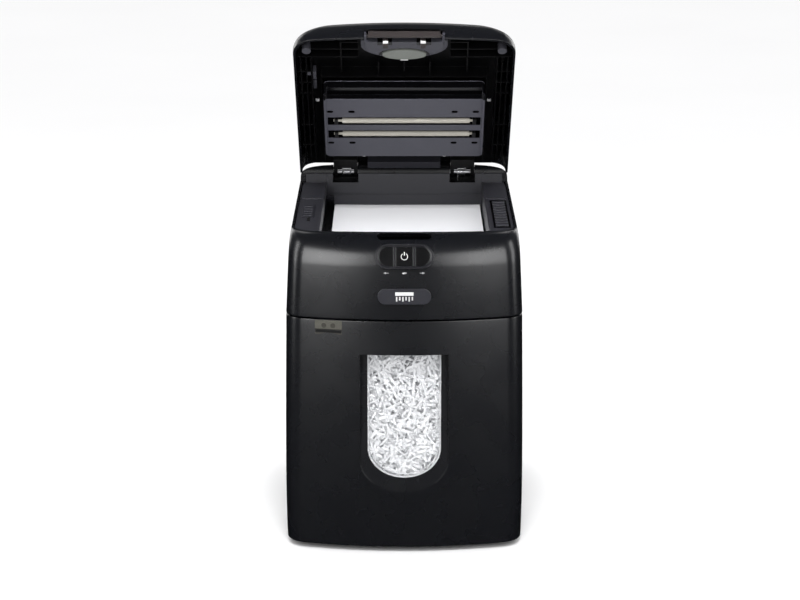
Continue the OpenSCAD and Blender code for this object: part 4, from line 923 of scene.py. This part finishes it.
def heap_swell(x, y):
    return SWELL * np.exp(-(x / 95) ** 2 - ((y - 6) / 105) ** 2)


def packed_place(a, b, h):
    """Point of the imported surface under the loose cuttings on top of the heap."""
    x, y = lerp(-142, 142, a), lerp(-157, 169, b)
    return x, y, HEAP_Z - 5 + h + heap_swell(x, y)


def build_heap_cuttings(cuttings, deep_shade):
    """Loose cuttings on top of the heap in the tub, over a darker packed surface that paints the shade in the
    gaps.
    """
    count = 2600
    x, y = rng.uniform(-136, 136, count), rng.uniform(-148, 162, count)
    z = HEAP_Z - 2 + heap_swell(x, y) + rng.uniform(-2.5, 3.5, count)
    heap = strips(count, np.stack([x, y, z], -1), 0.75, (12, 36), (2.2, 3.8))
    heap[..., 0] = np.clip(heap[..., 0], -141, 141)
    heap[..., 1] = np.clip(heap[..., 1], -156, 168)
    dress(strip_mesh("cuttings_on_top", heap), cuttings, "bin", "paper", angle=180)
    over = bumpy("packed_on_top", 90, 100, packed_place, 1.6)
    dress(over, deep_shade, "bin", "paper", "paper_shreds", angle=180)


def build_shreds():
    cuttings = paper("cuttings", (0.78, 0.785, 0.80))
    # The packed surface's darker paper is painted shade between the cuttings.
    deep_shade = paper("packed_cuttings", (0.34, 0.34, 0.36))
    build_window_cuttings(cuttings, deep_shade)
    build_heap_cuttings(cuttings, deep_shade)


# ---- springs and small marks ---------------------------------------------------------------
def sweep(name, path, radius, sides=10):
    """Round wire along a list of points in millimetres."""
    path = [Vector(p) for p in path]
    points, faces = [], []
    side = None
    for i, p in enumerate(path):
        tangent = (path[min(i + 1, len(path) - 1)] - path[max(i - 1, 0)]).normalized()
        side = side or tangent.orthogonal()
        side = side - tangent * side.dot(tangent)
        side.normalize()
        other = tangent.cross(side)
        points += [p + radius * (math.cos(a) * side + math.sin(a) * other)
                   for a in [2 * math.pi * k / sides for k in range(sides)]]
    for i in range(len(path) - 1):
        faces += [(i * sides + k, i * sides + (k + 1) % sides, (i + 1) * sides + (k + 1) % sides,
                   (i + 1) * sides + k) for k in range(sides)]
    faces += [tuple(reversed(range(sides))), tuple(range((len(path) - 1) * sides, len(path) * sides))]
    return mesh_object(name, points, faces)


def coil(radius, pitch, turns, steps=20):
    """Points of a helix about +Z."""
    return [(radius * math.cos(a), radius * math.sin(a), pitch * a / (2 * math.pi))
            for a in [2 * math.pi * i / steps for i in range(int(turns * steps) + 1)]]


def spring(name, path, wire_r, body, *replaced):
    dress(sweep(name, path, wire_r), MATERIALS["spring_steel"], body, "spring_steel", *replaced)


def build_springs():
    """Springs as they stand at rest. The last of each kind stands for the CAD's node."""
    for side, name, replaced in ((-1, "left", []), (1, "right", ["hinge_springs"])):
        turn = (Matrix.Translation((side * 77.5, HINGE_Y, HINGE_Z))
                @ Matrix.Rotation(side * math.pi / 2, 4, "Y"))
        path = [turn @ Vector(p) for p in coil(4.6, 2.05, 5.5)]
        first, last = path[0], path[-1]
        lead = [first + Vector((0, -9, -6)), first + Vector((0, -4.5, -3))]
        tail = [last + Vector((0, -5, 3.5)), last + Vector((0, -10, 7))]
        spring("hinge_spring_" + name, lead + path + tail, 0.85, "frame", *replaced)
    corners = [(x, y) for x in (-88, 88) for y in (-34, 66)]
    for i, (x, y) in enumerate(corners):
        turn = OPEN_LID @ Matrix.Translation((x, y, DECK_Z - 3.2))
        path = [turn @ Vector(p) for p in coil(4.4, 2.5, 3.4)]
        replaced = ["plate_springs"] if i == len(corners) - 1 else []
        spring("plate_spring_%d" % i, path, 0.65, "lid", *replaced)


def stroke(name, outline, turn, proud):
    """A printed mark: a thin solid standing a little proud of its surface."""
    return prism(name, outline, -0.05, proud, turn)


def arc_band(r1, r2, start, end, steps=24):
    angles = np.radians(np.linspace(start, end, steps))
    return ([(r2 * math.cos(a), r2 * math.sin(a)) for a in angles]
            + [(r1 * math.cos(a), r1 * math.sin(a)) for a in angles[::-1]])


def head_front(x, z):
    """Frame on the head's front surface, +Z out of it."""
    t = (z - SEAM_Z) / (DECK_Z - SEAM_Z)
    hw = lerp(HALF_W - 3.2, DECK_HALF + 2.4, t)
    y = FRONT_Y + 1.5 + 4 * t * t + FRONT_BOW * (x / hw) ** 2
    swing = math.atan(2 * FRONT_BOW * x / hw ** 2)
    lean = math.atan(8 * t / (DECK_Z - SEAM_Z))
    return (Matrix.Translation((x, y, z)) @ Matrix.Rotation(swing, 4, "Z")
            @ Matrix.Rotation(math.pi / 2 - lean, 4, "X"))


def build_marks():
    key_face = AT_CONTROLS @ Matrix.Translation((0, 0, 2.2))
    marks = [("power_ring", arc_band(3.8, 4.7, 120, 420), key_face, "key_auto"),
             ("power_bar", [(-0.65, 1.2), (0.65, 1.2), (0.65, 6.0), (-0.65, 6.0)], key_face, "key_auto")]
    arrow = [(-3.4, 0), (0, 1.5), (0, 0.5), (3.4, 0.5), (3.4, -0.5), (0, -0.5), (0, -1.5)]
    marks.append(("mark_back", arrow, head_front(-24, 391), "frame"))
    marks.append(("mark_forward", [(-x, -y) for x, y in arrow], head_front(23.5, 391), "frame"))
    marks.append(("mark_middle", [(x * 2.6, y) for x, y in arc_band(0.01, 1.2, 0, 359)], head_front(0, 391),
                  "frame"))
    badge = Matrix.Translation((0, FRONT_Y + 1.9 - 2.4, BADGE_Z)) @ UPRIGHT
    marks.append(("badge_sheet", [(-12, 1.6), (12, 1.6), (12, 6.2), (-12, 6.2)], badge, "frame"))
    for i in range(6):
        x, drop = -11 + i * 4.1, -6.2 + 1.5 * (i % 2)
        strip = [(x, drop), (x + 1.8, drop), (x + 1.8, 0), (x, 0)]
        marks.append(("badge_strip_%d" % i, strip, badge, "frame"))
    for name, outline, turn, body in marks:
        tall = 0.7 if name.startswith("badge") else 0.25
        ink = glyph_grey if name.startswith("mark") else glyph_white
        dress(stroke(name, outline, turn, tall), ink, body, "light_plastic")
    tab = block((-5, -98.6, DECK_Z + 4.4), (5, -97, DECK_Z + 8))
    open_with_lid(tab)
    tab.name = "lens_tab"
    dress(tab, glyph_white, "lid", "light_plastic")


for build in (build_head, build_lid, build_rear_housing, build_cabinet, build_bin_front, build_window_rim,
              build_sheets, build_shreds, build_springs, build_marks):
    build()


# ---- floor and light -----------------------------------------------------------------------
def build_floor():
    s = Shader("floor")
    cloud = s.noise(1.5, 3.0)
    s.link(s.mix(cloud, (0.88, 0.88, 0.885), (0.92, 0.92, 0.925)), s.out.inputs["Base Color"])
    s.set(Roughness=0.7, Specular_IOR_Level=0.1)
    reach = 20000
    floor = mesh_object("floor", [(-reach, -reach, 0), (reach, -reach, 0), (reach, reach, 0),
                                  (-reach, reach, 0)], [(0, 1, 2, 3)])
    floor.location = (0, 0, start_bounds[0][2] - 0.0005)
    floor.data.materials.append(s.material)
    floor.visible_glossy = False


def soft_box(name, place, target, size, power, only, spread=180):
    """Area light that shows only in the gloss or only lights the diffuse surfaces."""
    data = bpy.data.lights.new(name, "AREA")
    data.shape = "RECTANGLE"
    data.size, data.size_y = size
    data.energy = power
    data.spread = math.radians(spread)
    light = bpy.data.objects.new(name, data)
    light.visible_diffuse = only != "gloss"
    light.visible_glossy = only != "diffuse"
    light.location = place
    light.rotation_euler = (Vector(target) - Vector(place)).to_track_quat("-Z", "Y").to_euler()
    bpy.context.scene.collection.objects.link(light)


# The floor and the white surroundings light the object, but don't mirror in it: in the studio
# the room in front of the object is dark, and only the soft boxes show in its gloss.
build_floor()
for side, power in ((-1, 74), (1, 56)):
    soft_box("gloss_box", (side * 1.2, -2.6, 1.05), (0, -0.1, 0.4), (1.05, 2.0), power, "gloss")
    soft_box("side_box", (side * 1.9, -0.5, 0.85), (0, 0, 0.3), (0.5, 1.66), 18, "gloss")
    soft_box("rear_box", (side * 1.7, 2.2, 1.1), (0, 0, 0.4), (1.0, 2.0), 20, "gloss")
soft_box("back_box", (0, 1.9, 2.6), (0, 0, 0.45), (2.4, 1.0), 15, "gloss")
soft_box("top_box", (0, -0.2, 2.4), (0, 0, 0.3), (1.6, 1.2), 8, "diffuse")
soft_box("fill_box", (0, -3.2, 2.1), (0, 0, 0.3), (1.6, 0.9), 14, "diffuse")
soft_box("chamber_box", (0, -1.35, 2.3), (0, 0, 0.42), (0.5, 0.3), 2.7, "diffuse", 50)
world = bpy.data.worlds.new("world")
bpy.context.scene.world = world
world.use_nodes = True
world.node_tree.nodes["Background"].inputs["Color"].default_value = (1, 1, 1, 1)
world.node_tree.nodes["Background"].inputs["Strength"].default_value = 1.12
world.cycles_visibility.glossy = False
bpy.context.scene.view_settings.view_transform = "Standard"
